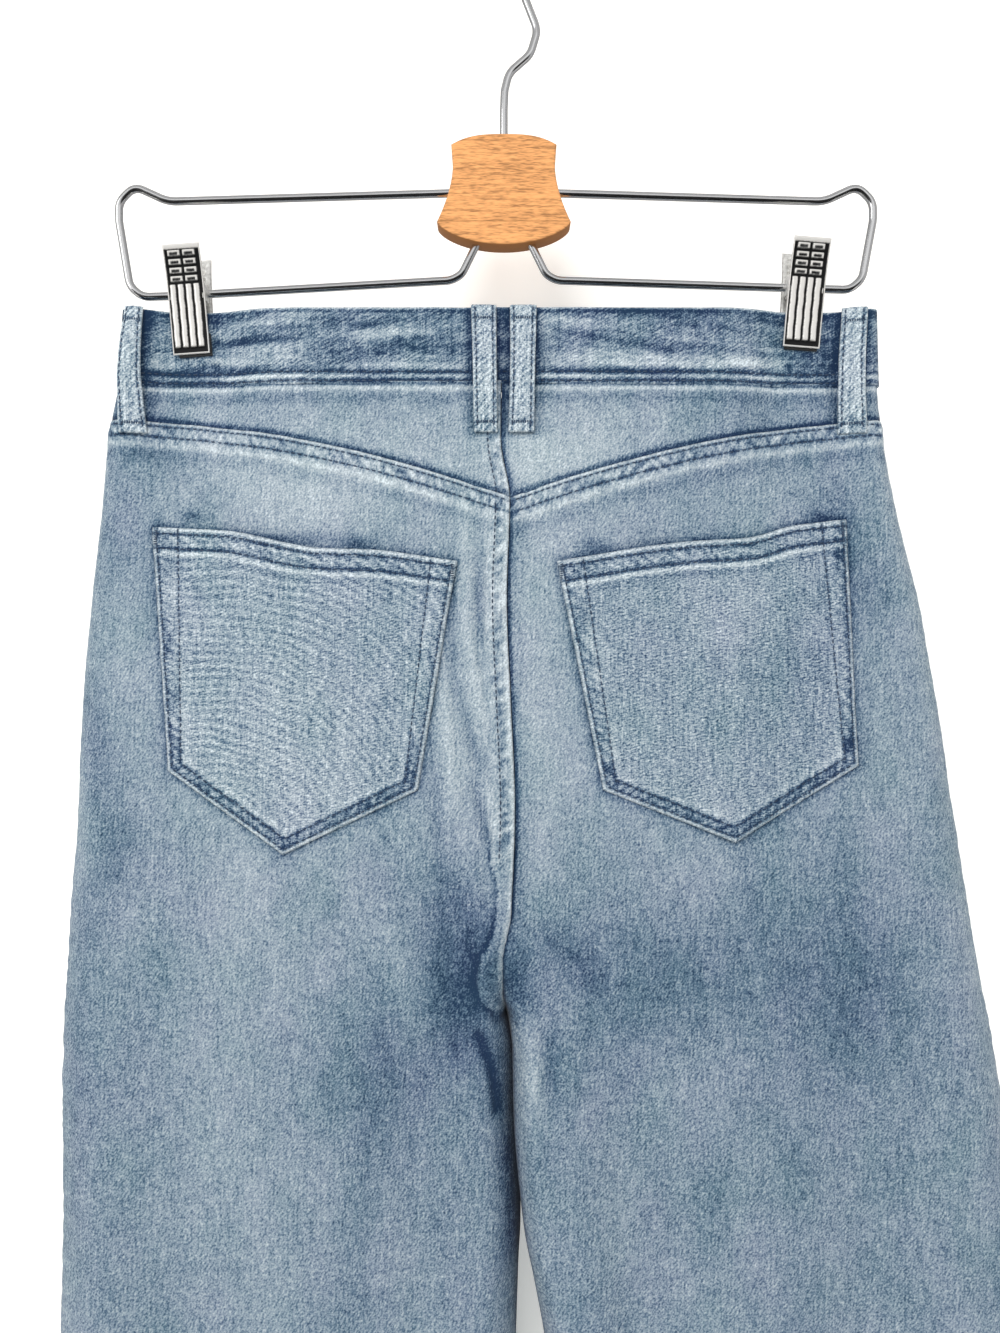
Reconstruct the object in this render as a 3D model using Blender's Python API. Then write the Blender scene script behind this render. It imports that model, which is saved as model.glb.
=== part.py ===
"""Wide leg cropped jeans hanging from the two clips of a wire hanger.

Metres, +Z up. The back of the jeans faces -Y and the front faces +Y, so the wearer's left is at -X.
The origin is the inner top of the hook, where a rod or a wall hook carries the hanger.
On the cloth, heights are distances below the waistband's top edge, and x is measured from CLOTH_X.
"""

from collections import namedtuple
from math import cos, exp, hypot, pi, radians, sin, sqrt, tan

import bmesh
import bpy
from mathutils import Matrix, Vector

# ---------------------------------------------------------------- driving dimensions
GAP = 0.0003  # clearance between pieces that touch
LAID = 0.0006  # clearance under what lies on the cloth
WALL = 0.0015  # one ply of denim with its turnings
BAND_WALL = 0.0030  # waistband, two plies and interfacing
BAND_PROUD = 0.0007  # how far the waistband stands out from the panels below it
POCKET_WALL = 0.0013
TURNED_EDGE = 0.0009  # extra thickness where an edge is turned under
FACING_WALL = 0.0012
LOOP_WALL = 0.0022

CLOTH_X = 0.0065  # the cloth's own zero of x, beside the hook's bearing point
WAIST_TOP = -0.1790  # height of the waistband's top edge
BAND_HEIGHT = 0.0385
RISE = 0.352  # waistband top to crotch
INSEAM = 0.661
HEM_TURN = 0.0127
LENGTH = RISE + INSEAM

ROUND = 0.028  # largest radius of the fold at a leg's outer edge
INNER_ROUND = {"left": 0.019, "right": 0.011}  # the same at the inner edges; the right one is sharper
LEAN_REACH = 0.085  # how far across a leg the lean of its inner edge dies away

YOKE_SIDE = 0.0565  # yoke seam below the waistband's top, at the side and at its point
YOKE_POINT = 0.0960
YOKE_SPAN = 0.197  # from the point to the side, over which the seam rises
YOKE_CURVE = 1.8

SCOOP_START = 0.095  # front pocket mouth: where it leaves the waistband, and its depth at the side
SCOOP_DEPTH = 0.080
SCOOP_CURVE = 2.2
FACING_UNDER = 0.014

WIRE_R = 0.0020
STEM_X = 0.0110  # the hook's stem and the block stand a little beside the bearing point
HOOK_R = 0.0180  # inner radius of the hook
BLOCK_TOP = -0.0907
BLOCK_BOTTOM = -0.1465
BLOCK_THICK = 0.0125
BLOCK_EDGE = 0.0016  # rounding of its edges
# The block's outline: half width and height below its top at the shoulder, the waist and the hip.
BLOCK_SHOULDER = (0.0268, 0.0056)
BLOCK_WAIST = (0.0258, 0.0163)
BLOCK_HIP = (0.0338, 0.0443)
BLOCK_CROWN = (0.0147, 0.0014)
CLIP_WIDTH = 0.0177
CLIP_REACH = 0.154  # clips' distance from the middle of the waistband
CLIP_GRIP = 0.0025  # half depth of the cloth inside the jaws, which hold it flat over this half width
CLIP_HOLD = 0.0115
CLIP_BITE = 0.0270  # and down to this height
CLIP_SPREAD = 0.018  # how far along the band and down the cloth the pinch then fades
CLIP_FADE = 0.055
CLIP_DIP = 0.0022  # how far, and over what width, a clip's pull sinks the band's top edge
CLIP_DIP_WIDTH = 0.020

# ---------------------------------------------------------------- the cloth's form
# A row for each level cut through the jeans. Above the crotch the two sides meet at the centre seam.
# 'deep' is half the depth of the tube, 'join' is how flush the two sides meet (1 flat, 0 parted), and
# 'lean' is how far the leg's inner edge stands towards the front, so that one leg laps behind the other.
Level = namedtuple(
    "Level",
    "below left_out left_in right_in right_out left_deep right_deep join left_lean right_lean",
)
LEVELS = [
    Level(0.0000, -0.1885, 0.0040, 0.0040, 0.1935, 0.0080, 0.0080, 1.00, 0.000, 0.000),
    Level(0.0385, -0.1915, 0.0033, 0.0033, 0.1945, 0.0085, 0.0085, 1.00, 0.000, 0.000),
    Level(0.0660, -0.1965, 0.0030, 0.0030, 0.1970, 0.0105, 0.0105, 1.00, 0.000, 0.000),
    Level(0.0970, -0.1990, 0.0075, 0.0075, 0.2025, 0.0125, 0.0125, 1.00, 0.000, 0.000),
    Level(0.1470, -0.2045, 0.0060, 0.0060, 0.2145, 0.0145, 0.0145, 1.00, 0.000, 0.000),
    Level(0.1980, -0.2090, 0.0080, 0.0080, 0.2235, 0.0165, 0.0165, 1.00, 0.000, 0.000),
    Level(0.2490, -0.2110, 0.0100, 0.0100, 0.2312, 0.0190, 0.0190, 1.00, 0.000, 0.000),
    Level(0.3000, -0.2140, 0.0075, 0.0075, 0.2390, 0.0215, 0.0215, 0.96, 0.000, 0.000),
    Level(0.3250, -0.2150, 0.0025, 0.0025, 0.2425, 0.0230, 0.0228, 0.78, 0.000, 0.000),
    Level(0.3420, -0.2160, 0.0030, 0.0030, 0.2455, 0.0238, 0.0234, 0.42, 0.000, 0.000),
    Level(0.3520, -0.2165, 0.0052, 0.0052, 0.2475, 0.0243, 0.0237, 0.00, 0.000, 0.000),
    Level(0.3720, -0.2170, 0.0092, 0.0090, 0.2510, 0.0252, 0.0241, 0.00, 0.004, -0.005),
    Level(0.4020, -0.2175, 0.0100, 0.0096, 0.2560, 0.0265, 0.0245, 0.00, 0.006, -0.007),
    Level(0.4530, -0.2180, 0.0128, 0.0138, 0.2650, 0.0280, 0.0250, 0.00, 0.006, -0.006),
    Level(0.5210, -0.2190, 0.0110, 0.0253, 0.2765, 0.0305, 0.0255, 0.00, 0.004, -0.002),
    Level(0.6200, -0.2205, 0.0090, 0.0390, 0.2900, 0.0325, 0.0265, 0.00, 0.002, 0.000),
    Level(0.7400, -0.2225, 0.0070, 0.0500, 0.3020, 0.0350, 0.0275, 0.00, 0.000, 0.000),
    Level(0.8600, -0.2250, 0.0055, 0.0580, 0.3110, 0.0370, 0.0290, 0.00, 0.000, 0.000),
    Level(1.0130, -0.2280, 0.0040, 0.0640, 0.3190, 0.0390, 0.0310, 0.00, 0.000, 0.000),
]
MIDDLE = LEVELS[0].left_in

# The largest folds: a ridge where 'height' is positive, a trough where it is negative.
Fold = namedtuple("Fold", "x_top below_top x_end below_end width height")
BACK_FOLDS = [
    Fold(-0.190, 0.29, -0.186, 0.92, 0.013, 0.0030),
    Fold(-0.152, 0.33, -0.132, 1.28, 0.020, -0.0050),
    Fold(-0.094, 0.36, -0.068, 1.40, 0.021, 0.0055),
    Fold(-0.040, 0.34, -0.022, 1.22, 0.014, -0.0050),
    Fold(-0.013, 0.25, -0.002, 0.37, 0.009, 0.0035),
    Fold(0.036, 0.32, 0.064, 0.78, 0.014, 0.0045),
    Fold(0.060, 0.35, 0.116, 1.30, 0.017, -0.0050),
    Fold(0.112, 0.36, 0.186, 1.40, 0.022, 0.0055),
    Fold(0.162, 0.29, 0.246, 1.20, 0.019, -0.0045),
    Fold(0.214, 0.31, 0.290, 1.25, 0.017, 0.0035),
]
FRONT_FOLDS = [
    Fold(-0.178, 0.26, -0.172, 1.22, 0.017, -0.0045),
    Fold(-0.125, 0.31, -0.108, 1.38, 0.021, 0.0055),
    Fold(-0.070, 0.34, -0.048, 1.24, 0.016, -0.0050),
    Fold(-0.030, 0.28, -0.018, 0.62, 0.012, 0.0035),
    Fold(0.040, 0.31, 0.092, 1.16, 0.015, 0.0045),
    Fold(0.078, 0.34, 0.148, 1.34, 0.019, -0.0050),
    Fold(0.142, 0.30, 0.226, 1.36, 0.022, 0.0050),
    Fold(0.205, 0.27, 0.276, 1.20, 0.018, -0.0045),
]

# Rows of the panels' mesh, from the level of the pockets down to the hem.
PANEL_ROWS = [
    0.147, 0.198, 0.249, 0.276, 0.300, 0.314, 0.325, 0.334, 0.342, 0.352, 0.362, 0.372,
    0.402, 0.453, 0.521, 0.620, 0.740, 0.860, LENGTH - HEM_TURN, LENGTH - HEM_TURN + 0.001, LENGTH,
]  # fmt: skip
BLEND_ROWS = 3  # rows above those, which turn from the panel's shaped top edge to level
PANEL_COLUMNS = 12
FACING_COLUMNS = 7

# Patch pockets, seen from behind: the mouth's points from the left, then the three lower corners.
Pocket = namedtuple("Pocket", "mouth low_left tip low_right")
POCKETS = {
    "left": Pocket(
        [(-0.1701, 0.1112), (-0.1329, 0.1132), (-0.0873, 0.1216), (-0.0610, 0.1226), (-0.0188, 0.1281)],
        (-0.1605, 0.2316), (-0.1036, 0.2725), (-0.0378, 0.2410),
    ),
    "right": Pocket(
        [(0.0308, 0.1281), (0.0953, 0.1186), (0.1251, 0.1167), (0.1474, 0.1107), (0.1748, 0.1072)],
        (0.0532, 0.2410), (0.1178, 0.2665), (0.1786, 0.2290),
    ),
}  # fmt: skip
POCKET_GAPE = 0.0012  # how far the mouth stands off
POCKET_ROWS = [0.0, 0.085, 0.095, 0.30, 0.55, 0.80, 1.0]  # of the mesh; the first two are the turned hem

# Belt loops: centre and width at the top, middle and bottom.
Loop = namedtuple("Loop", "face x_top x_mid x_end wide_top wide_mid wide_end")
LOOPS = {
    "belt_loop_back_left": Loop("back", -0.0056, -0.0050, -0.0045, 0.0128, 0.0120, 0.0120),
    "belt_loop_back_right": Loop("back", 0.0142, 0.0138, 0.0132, 0.0135, 0.0125, 0.0130),
    "belt_loop_side_left": Loop("back", -0.1810, -0.1828, -0.1808, 0.0096, 0.0124, 0.0138),
    "belt_loop_side_right": Loop("back", 0.1808, 0.1786, 0.1790, 0.0122, 0.0126, 0.0140),
    "belt_loop_front_left": Loop("front", -0.0880, -0.0885, -0.0890, 0.0130, 0.0128, 0.0132),
    "belt_loop_front_right": Loop("front", 0.0965, 0.0970, 0.0975, 0.0130, 0.0128, 0.0132),
}
LOOP_TOP = -0.0006
LOOP_END = 0.0638
LOOP_SLACK = 0.0027  # how far a loop's middle stands off the band
LOOP_DROP = 0.010  # height over which a loop steps down off the band's lower edge

# Centre front: the left band laps over the right one.
LAP_OVER = 0.018
LAP_UNDER = 0.020
LAP_STEP = 0.012
# Columns of the waistband's mesh: distances from the middle, then 1 + share of the way from clip to fold.
BAND_STOPS = [
    0.110, 0.130, CLIP_REACH - CLIP_HOLD, CLIP_REACH + CLIP_HOLD, 1.35, 1.65, 1.85, 1.96, 2.0,
]  # fmt: skip
BUTTON_R = 0.0085
BUTTON_THICK = 0.0030
BUTTON_RIM = 0.0015
SHANK_R = 0.0035
SHANK_HIGH = 0.0010
ZIP_WIDTH = 0.024
ZIP_TOP = 0.0420
ZIP_END = 0.1500
ZIP_WALL = 0.0012
SLIDER_TOP = 0.0440
SLIDER_END = 0.0550
SLIDER_WIDE = 0.0085
SLIDER_NARROW = 0.0062
SLIDER_THICK = 0.0026

# The hook below its half turn: corners beside the stem, and their heights, of the S-bend into the block.
HOOK_ARC = (radians(176), radians(22))
HOOK_STEPS = 16
HOOK_BEND = 0.012
HOOK_SIDE = [
    (0.0172, -0.0352),
    (0.0135, -0.0475),
    (0.0025, -0.0572),
    (0.0004, -0.0660),
    (0.0000, -0.0760),
]
STEM_SUNK = 0.0130  # how far the stem goes into the block

# One half of the wire frame: how far it reaches from the block's axis, and the heights of its runs.
REACH = {"left": 0.1966, "right": 0.1886}
WIRE_TOP = -0.1181
WIRE_FOOT = {"left": -0.1711, "right": -0.1675}
WIRE_BEND = 0.0062
# Corners of the outer end, as distance in from the reach and height above the top run or the foot.
WIRE_SHOULDER = [(0.0255, -0.0044), (0.0085, 0.0034), (0.0005, -0.0046), (0.0005, -0.0140)]
WIRE_HEEL = [(0.0060, 0.0055), (0.0125, 0.0000)]
RUN_OUTER = (0.0300, 0.0005)
# Corners by the block, as distance out from its axis and height.
RUN_INNER = (0.0270, -0.1627)
WIRE_UNDER = [(0.0215, -0.1597), (0.0115, -0.1395)]

# Clips: where the wire crosses each one and how it leans, then the side profile of a leaf from the
# handle down to the jaw, as height above the wire and distance out from the hanger's plane.
Clip = namedtuple("Clip", "x lean")
CLIPS = {"left": Clip(-0.1473, radians(4.8)), "right": Clip(0.1635, radians(-4.6))}
LEAF = [
    (0.0218, 0.0120),
    (0.0100, 0.0092),
    (0.0000, 0.0078),
    (-0.0160, 0.0066),
    (-0.0318, 0.0060),
]
LEAF_WALL = 0.0010
PAD_WALL = 0.0012
PAD_HEIGHT = 0.0100
PAD_SHY = 0.0006  # how far the pad stops short of the jaw's sides
EAR_R = 0.0042
EAR_INWARD = 0.0030  # how far an ear reaches in from the leaf
EAR_X = {"front": 0.0083, "rear": 0.0069}  # the rear leaf's ears stand inside the front leaf's
EAR_HOLE_R = WIRE_R + 0.0008
SPRING_R = 0.0038
SPRING_LENGTH = 0.0105


# ---------------------------------------------------------------- helpers
def material(name, colour, rough, metallic=0.0):
    found = bpy.data.materials.new(name)
    found.use_nodes = True
    shader = found.node_tree.nodes["Principled BSDF"]
    shader.inputs["Base Color"].default_value = (*colour, 1.0)
    shader.inputs["Roughness"].default_value = rough
    shader.inputs["Metallic"].default_value = metallic
    return found


def finish_mesh(bm, name, finish):
    bmesh.ops.recalc_face_normals(bm, faces=bm.faces)
    mesh = bpy.data.meshes.new(name)
    bm.to_mesh(mesh)
    bm.free()
    mesh.shade_smooth()
    mesh.set_sharp_from_angle(angle=radians(35))
    mesh.materials.append(finish)
    thing = bpy.data.objects.new(name, mesh)
    bpy.context.collection.objects.link(thing)
    return thing


def wall(name, finish, columns, rows, place):
    """A closed wall: a grid whose outer side is place(u, v, 0) and whose inner side is place(u, v, 1)."""
    bm = bmesh.new()
    bmesh.ops.create_grid(bm, x_segments=columns, y_segments=rows, size=0.5)
    grown = bmesh.ops.extrude_face_region(bm, geom=bm.faces[:])
    inner = {v for v in grown["geom"] if isinstance(v, bmesh.types.BMVert)}
    for vert in bm.verts:
        vert.co = place(vert.co.x + 0.5, vert.co.y + 0.5, 1 if vert in inner else 0)
    return finish_mesh(bm, name, finish)


def mix(a, b, share):
    return a + (b - a) * share


def ease(share):
    share = min(max(share, 0.0), 1.0)
    return share * share * (3.0 - 2.0 * share)


def smooth_through(points, at):
    """Height at 'at' of a curve through (place, height) points that never overshoots them."""
    places = [p for p, _ in points]
    heights = [h for _, h in points]
    if at <= places[0]:
        return heights[0]
    if at >= places[-1]:
        return heights[-1]
    slopes = [
        (heights[k + 1] - heights[k]) / (places[k + 1] - places[k])
        for k in range(len(points) - 1)
    ]
    tangents = [slopes[0]]
    for before, after in zip(slopes, slopes[1:]):
        same_way = before * after > 0
        tangents.append(2 * before * after / (before + after) if same_way else 0.0)
    tangents.append(slopes[-1])
    k = max(i for i in range(len(points) - 1) if places[i] <= at)
    step = places[k + 1] - places[k]
    t = (at - places[k]) / step
    return (
        (2 * t**3 - 3 * t**2 + 1) * heights[k]
        + (t**3 - 2 * t**2 + t) * step * tangents[k]
        + (3 * t**2 - 2 * t**3) * heights[k + 1]
        + (t**3 - t**2) * step * tangents[k + 1]
    )


def level_at(below):
    """The form's row at any height, read smoothly between the rows of the table."""
    return Level(
        below,
        *(
            smooth_through([(row.below, getattr(row, name)) for row in LEVELS], below)
            for name in Level._fields[1:]
        ),
    )


def corner(share):
    """Quarter circle: 0 at the fold, 1 where the cloth has turned flat."""
    share = min(max(share, 0.0), 1.0)
    return sqrt(1.0 - (1.0 - share) ** 2)


def fold_height(folds, x, below):
    total = 0.0
    for fold in folds:
        run_x = fold.x_end - fold.x_top
        run_down = fold.below_end - fold.below_top
        length = hypot(run_x, run_down)
        to_x = x - fold.x_top
        to_down = below - fold.below_top
        along = (to_x * run_x + to_down * run_down) / length**2
        if 0.0 < along < 1.0:
            aside = (to_x * run_down - to_down * run_x) / length
            total += fold.height * sin(pi * along) * exp(-((aside / fold.width) ** 2))
    return total


def pinch(x, below):
    """How far the clips squeeze the cloth flat: 1 in the jaws, 0 away from them."""
    aside = max(abs(abs(x - MIDDLE) - CLIP_REACH) - CLIP_HOLD, 0.0)
    under = max(below - CLIP_BITE, 0.0)
    return exp(-((aside / CLIP_SPREAD) ** 2)) * exp(-((under / CLIP_FADE) ** 2))


def on_cloth(face, x, below, lift=0.0, seam=GAP, side=None):
    """The point of the cloth at x and a height, lifted off its outer face; a negative lift goes inside."""
    row = level_at(below)
    side = side or ("left" if x < (row.left_in + row.right_in) / 2 else "right")
    out, inn, deep, lean = (
        (row.left_out, row.left_in, row.left_deep, row.left_lean)
        if side == "left"
        else (row.right_out, row.right_in, row.right_deep, row.right_lean)
    )
    toward = 1.0 if side == "left" else -1.0
    squeeze = pinch(x, below)
    deep = mix(deep, CLIP_GRIP, squeeze)
    deep += fold_height(BACK_FOLDS if face == "back" else FRONT_FOLDS, x, below)
    sunk = min(lift, 0.0)
    deep += sunk
    out -= toward * sunk
    inn -= toward * (seam / 2 - sunk * (1.0 - row.join))
    x = min(max(x, min(out, inn)), max(out, inn))
    outer_turn = corner(abs(x - out) / min(deep, ROUND + sunk))
    inner_turn = mix(corner(abs(x - inn) / min(deep, INNER_ROUND[side] + sunk)), 1.0, row.join)
    y = GAP / 2 + (deep - GAP / 2) * outer_turn * inner_turn + max(lift, 0.0)
    leaned = lean * (1.0 - ease(abs(x - inn) / LEAN_REACH))
    return Vector((CLOTH_X + x, leaned + (-y if face == "back" else y), WAIST_TOP - below))


def across(side, share, below, sunk, seam=GAP):
    """x at a share of the way from the side seam to the centre, on a surface that lies 'sunk' inside."""
    row = level_at(below)
    toward = 1.0 if side == "left" else -1.0
    out, inn = (row.left_out, row.left_in) if side == "left" else (row.right_out, row.right_in)
    out += toward * sunk
    inn -= toward * (seam / 2 + sunk * (1.0 - row.join))
    return mix(out, inn, share)


def edge_at(side, share, edge):
    """Where a seam line, given as a height for each x, crosses a column of the cloth."""
    below = BAND_HEIGHT
    for _ in range(4):
        below = edge(across(side, share, below, 0.0))
    return below


def even_on_bends(u):
    """Spread columns so that they crowd at both ends, where the cloth bends."""
    return (1.0 - cos(pi * u)) / 2


# ---------------------------------------------------------------- seam lines
def yoke_seam(x):
    point = level_at(YOKE_POINT).left_in
    share = min(abs(x - point) / YOKE_SPAN, 1.0)
    return YOKE_SIDE + (YOKE_POINT - YOKE_SIDE) * (1.0 - share) ** YOKE_CURVE


def pocket_mouth(x):
    """The front panel's top edge: level at the waistband, then scooped down to the side seam."""
    row = level_at(BAND_HEIGHT)
    out = row.left_out if x < MIDDLE else row.right_out
    share = (abs(x - MIDDLE) - SCOOP_START) / (abs(out - MIDDLE) - SCOOP_START)
    share = min(max(share, 0.0), 1.0)
    return BAND_HEIGHT + SCOOP_DEPTH * (1.0 - (1.0 - share) ** SCOOP_CURVE)


def top_dip(x):
    """The band's top edge sinks a little where a clip pulls on it."""
    return CLIP_DIP * exp(-(((abs(x - MIDDLE) - CLIP_REACH) / CLIP_DIP_WIDTH) ** 2))


# ---------------------------------------------------------------- cloth pieces
def panel(name, face, side, top_edge, finish):
    """A trouser panel, from its shaped top edge to the hem, whose last rows are the turned hem."""
    rows = BLEND_ROWS + len(PANEL_ROWS) - 1

    def place(u, v, inner):
        k = round((1.0 - v) * rows)
        share = even_on_bends(u)
        if k < BLEND_ROWS:
            top = edge_at(side, share, top_edge) + GAP / 2
            below = mix(top, PANEL_ROWS[0], k / BLEND_ROWS)
        else:
            below = PANEL_ROWS[k - BLEND_ROWS]
        in_hem = below > LENGTH - HEM_TURN + GAP
        sunk = inner * (WALL + (TURNED_EDGE if in_hem else 0.0))
        x = across(side, share, below, sunk)
        return on_cloth(face, x, below, -sunk, side=side)

    return wall(name, finish, PANEL_COLUMNS, rows, place)


def yoke(side, finish):
    def place(u, v, inner):
        share = even_on_bends(u)
        below = mix(BAND_HEIGHT + GAP / 2, edge_at(side, share, yoke_seam) - GAP / 2, 1.0 - v)
        x = across(side, share, below, inner * WALL)
        return on_cloth("back", x, below, -inner * WALL, side=side)

    return wall(f"back_yoke_{side}", finish, PANEL_COLUMNS, 3, place)


def band_x(side, distance, v, inner):
    """x on the band at a distance from the middle, or at 1 plus a share of the way from clip to fold."""
    away = -1.0 if side == "left" else 1.0
    if distance < 1.0:
        return MIDDLE + away * distance
    row = level_at(BAND_HEIGHT * (1.0 - v))
    out = row.left_out if side == "left" else row.right_out
    out -= away * inner * (BAND_WALL - BAND_PROUD)
    return mix(MIDDLE + away * (CLIP_REACH + CLIP_HOLD), out, distance - 1.0)


def band_point(face, x, v, inner, extra=0.0):
    below = mix(top_dip(x), BAND_HEIGHT - GAP / 2, 1.0 - v)
    lift = BAND_PROUD - extra - inner * BAND_WALL
    return on_cloth(face, x, below, lift, seam=0.0)


def back_waistband(finish):
    """The back of the band, from one side seam round to the other."""
    stops = [0.0, 0.040, 0.080] + BAND_STOPS

    def place(u, v, inner):
        k = round((2 * u - 1.0) * (len(stops) - 1))
        side = "left" if k < 0 else "right"
        return band_point("back", band_x(side, stops[abs(k)], v, inner), v, inner)

    return wall("waistband_back", finish, 2 * (len(stops) - 1), 2, place)


def front_waistband(side, finish):
    """One front of the band. The left one ends in a lap over the right one, which steps in behind it."""
    step_end = LAP_OVER + GAP + 0.001
    step = [step_end + LAP_STEP * k / 4 for k in range(5)]
    stops = [-(LAP_OVER if side == "left" else LAP_UNDER), 0.0, *step, 0.060, 0.085] + BAND_STOPS

    def place(u, v, inner):
        x = band_x(side, stops[round(u * (len(stops) - 1))], v, inner)
        extra = 0.0
        if side == "right":
            extra = (BAND_WALL + GAP) * ease((MIDDLE + step_end + LAP_STEP - x) / LAP_STEP)
        return band_point("front", x, v, inner, extra)

    return wall(f"waistband_front_{side}", finish, len(stops) - 1, 2, place)


def belt_loop(name, loop, finish):
    """A folded strip, tacked down at both ends and slack between them."""

    def place(u, v, inner):
        t = 1.0 - v
        below = mix(LOOP_TOP, LOOP_END, t)
        x = smooth_through([(0.0, loop.x_top), (0.5, loop.x_mid), (1.0, loop.x_end)], t)
        wide = smooth_through([(0.0, loop.wide_top), (0.5, loop.wide_mid), (1.0, loop.wide_end)], t)
        x += (u - 0.5) * wide
        carried_by_band = 1.0 - ease((below - BAND_HEIGHT) / LOOP_DROP + 0.4)
        lift = LAID + BAND_PROUD * carried_by_band + LOOP_SLACK * sin(pi * t) ** 0.8
        lift += 0.0 if inner else LOOP_WALL
        point = on_cloth(loop.face, x, max(below, 0.0), lift, seam=0.0)
        point.z = WAIST_TOP - below
        return point

    return wall(name, finish, 2, 10, place)


def back_pocket(side, finish):
    """A patch pocket laid on the panel, its mouth turned under and a little slack."""
    shape = POCKETS[side]
    first, last = shape.mouth[0][0], shape.mouth[-1][0]

    def foot(u):
        if u < 0.5:
            return [mix(a, b, 2 * u) for a, b in zip(shape.low_left, shape.tip)]
        return [mix(a, b, 2 * u - 1) for a, b in zip(shape.tip, shape.low_right)]

    def place(u, v, inner):
        down = POCKET_ROWS[round((1.0 - v) * (len(POCKET_ROWS) - 1))]
        top_x = mix(first, last, u)
        top_below = smooth_through(shape.mouth, top_x)
        foot_x, foot_below = foot(u)
        x = mix(top_x, foot_x, down)
        below = mix(top_below, foot_below, down)
        lift = LAID + POCKET_GAPE * (1.0 - down) ** 3 * sin(pi * u)
        if not inner:
            lift += POCKET_WALL + (TURNED_EDGE if down <= POCKET_ROWS[1] else 0.0)
        return on_cloth("back", x, below, lift)

    return wall(f"back_pocket_{side}", finish, 12, len(POCKET_ROWS) - 1, place)


def pocket_facing(side, finish):
    """The denim that shows in a front pocket's mouth, one ply behind the front panel's first columns."""
    depth = WALL + GAP

    def place(u, v, inner):
        sunk = depth + inner * FACING_WALL
        share = even_on_bends(u * FACING_COLUMNS / PANEL_COLUMNS)
        low = edge_at(side, share, pocket_mouth) + FACING_UNDER
        below = mix(BAND_HEIGHT + GAP / 2, low, 1.0 - v)
        return on_cloth("front", across(side, share, below, sunk), below, -sunk)

    return wall(f"pocket_facing_{side}", finish, FACING_COLUMNS, 4, place)


def closed_zip(finish, metal):
    """The closed zip behind the front edges, and its slider parked at the top under the lapped edge."""
    depth = WALL + GAP

    def tape(u, v, inner):
        below = mix(ZIP_TOP, ZIP_END, 1.0 - v)
        x = level_at(below).left_in + (u - 0.5) * ZIP_WIDTH
        return on_cloth("front", x, below, -depth - inner * ZIP_WALL, seam=0.0)

    wall("zip", finish, 4, 6, tape)

    def slider(u, v, inner):
        below = mix(SLIDER_TOP, SLIDER_END, 1.0 - v)
        x = level_at(below).left_in + (u - 0.5) * mix(SLIDER_NARROW, SLIDER_WIDE, v)
        return on_cloth("front", x, below, -depth - ZIP_WALL - GAP - inner * SLIDER_THICK, seam=0.0)

    wall("zip_slider", metal, 2, 2, slider)


def shank_button(finish):
    """A turned metal button on the lapped end of the band."""
    below = BAND_HEIGHT / 2
    seat = on_cloth("front", MIDDLE, below, BAND_PROUD + GAP)
    profile = [
        (0.0, 0.0), (SHANK_R, 0.0), (SHANK_R, SHANK_HIGH),
        (BUTTON_R - 0.0006, SHANK_HIGH + 0.0002), (BUTTON_R, BUTTON_THICK * 0.6),
        (BUTTON_R - 0.0004, BUTTON_THICK - 0.0003), (BUTTON_R - BUTTON_RIM, BUTTON_THICK),
        (BUTTON_R - BUTTON_RIM - 0.0007, BUTTON_THICK - 0.0005), (0.0, BUTTON_THICK - 0.0005),
    ]  # fmt: skip
    bm = bmesh.new()
    verts = [bm.verts.new((r, y, 0.0)) for r, y in profile]
    edges = [bm.edges.new(pair) for pair in zip(verts, verts[1:])]
    bmesh.ops.spin(
        bm, geom=verts + edges, cent=(0, 0, 0), axis=(0, 1, 0), angle=2 * pi, steps=20, use_merge=True
    )
    bmesh.ops.remove_doubles(bm, verts=bm.verts, dist=1e-6)
    thing = finish_mesh(bm, "button", finish)
    thing.location = seat
    return thing


# ---------------------------------------------------------------- hanger
def bent(points, radius, steps=4):
    """Points of a wire through the corners of a path, each corner turned on an arc."""
    points = [Vector(p) for p in points]
    path = [points[0]]
    for before, here, after in zip(points, points[1:], points[2:]):
        back, on = (before - here), (after - here)
        angle = back.angle(on)
        tightest = 0.45 * min(back.length, on.length)
        trim = min(radius / max(tan(angle / 2), 1e-6), tightest)
        start = here + back.normalized() * trim
        end = here + on.normalized() * trim
        for k in range(steps + 1):
            t = k / steps
            path.append(start * (1 - t) ** 2 + here * 2 * t * (1 - t) + end * t**2)
    path.append(points[-1])
    return path


def wire(name, path, finish):
    curve = bpy.data.curves.new(name, "CURVE")
    curve.dimensions = "3D"
    curve.bevel_depth = WIRE_R
    curve.bevel_resolution = 2
    curve.use_fill_caps = True
    spline = curve.splines.new("POLY")
    spline.points.add(len(path) - 1)
    for point, place in zip(spline.points, path):
        point.co = (*place, 1.0)
    curve.materials.append(finish)
    thing = bpy.data.objects.new(name, curve)
    bpy.context.collection.objects.link(thing)
    return thing


def hook(finish):
    """An open hook: a half turn over the rod, a straight side, then an S-bend down to the stem."""
    radius = HOOK_R + WIRE_R
    arc = []
    for k in range(HOOK_STEPS + 1):
        angle = mix(*HOOK_ARC, k / HOOK_STEPS)
        arc.append(Vector((radius * cos(angle), 0.0, radius * sin(angle) - HOOK_R)))
    side = [(STEM_X + x, 0.0, z) for x, z in HOOK_SIDE]
    foot = (STEM_X, 0.0, BLOCK_TOP - STEM_SUNK)
    return wire("hanger_hook", arc[:-1] + bent([arc[-1], *side, foot], HOOK_BEND), finish)


def foot_run(side):
    """The two ends of the wire's straight lower run, on which the clip sits: outer, then inner."""
    inward, up = RUN_OUTER
    return (REACH[side] - inward, WIRE_FOOT[side] + up), RUN_INNER


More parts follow.
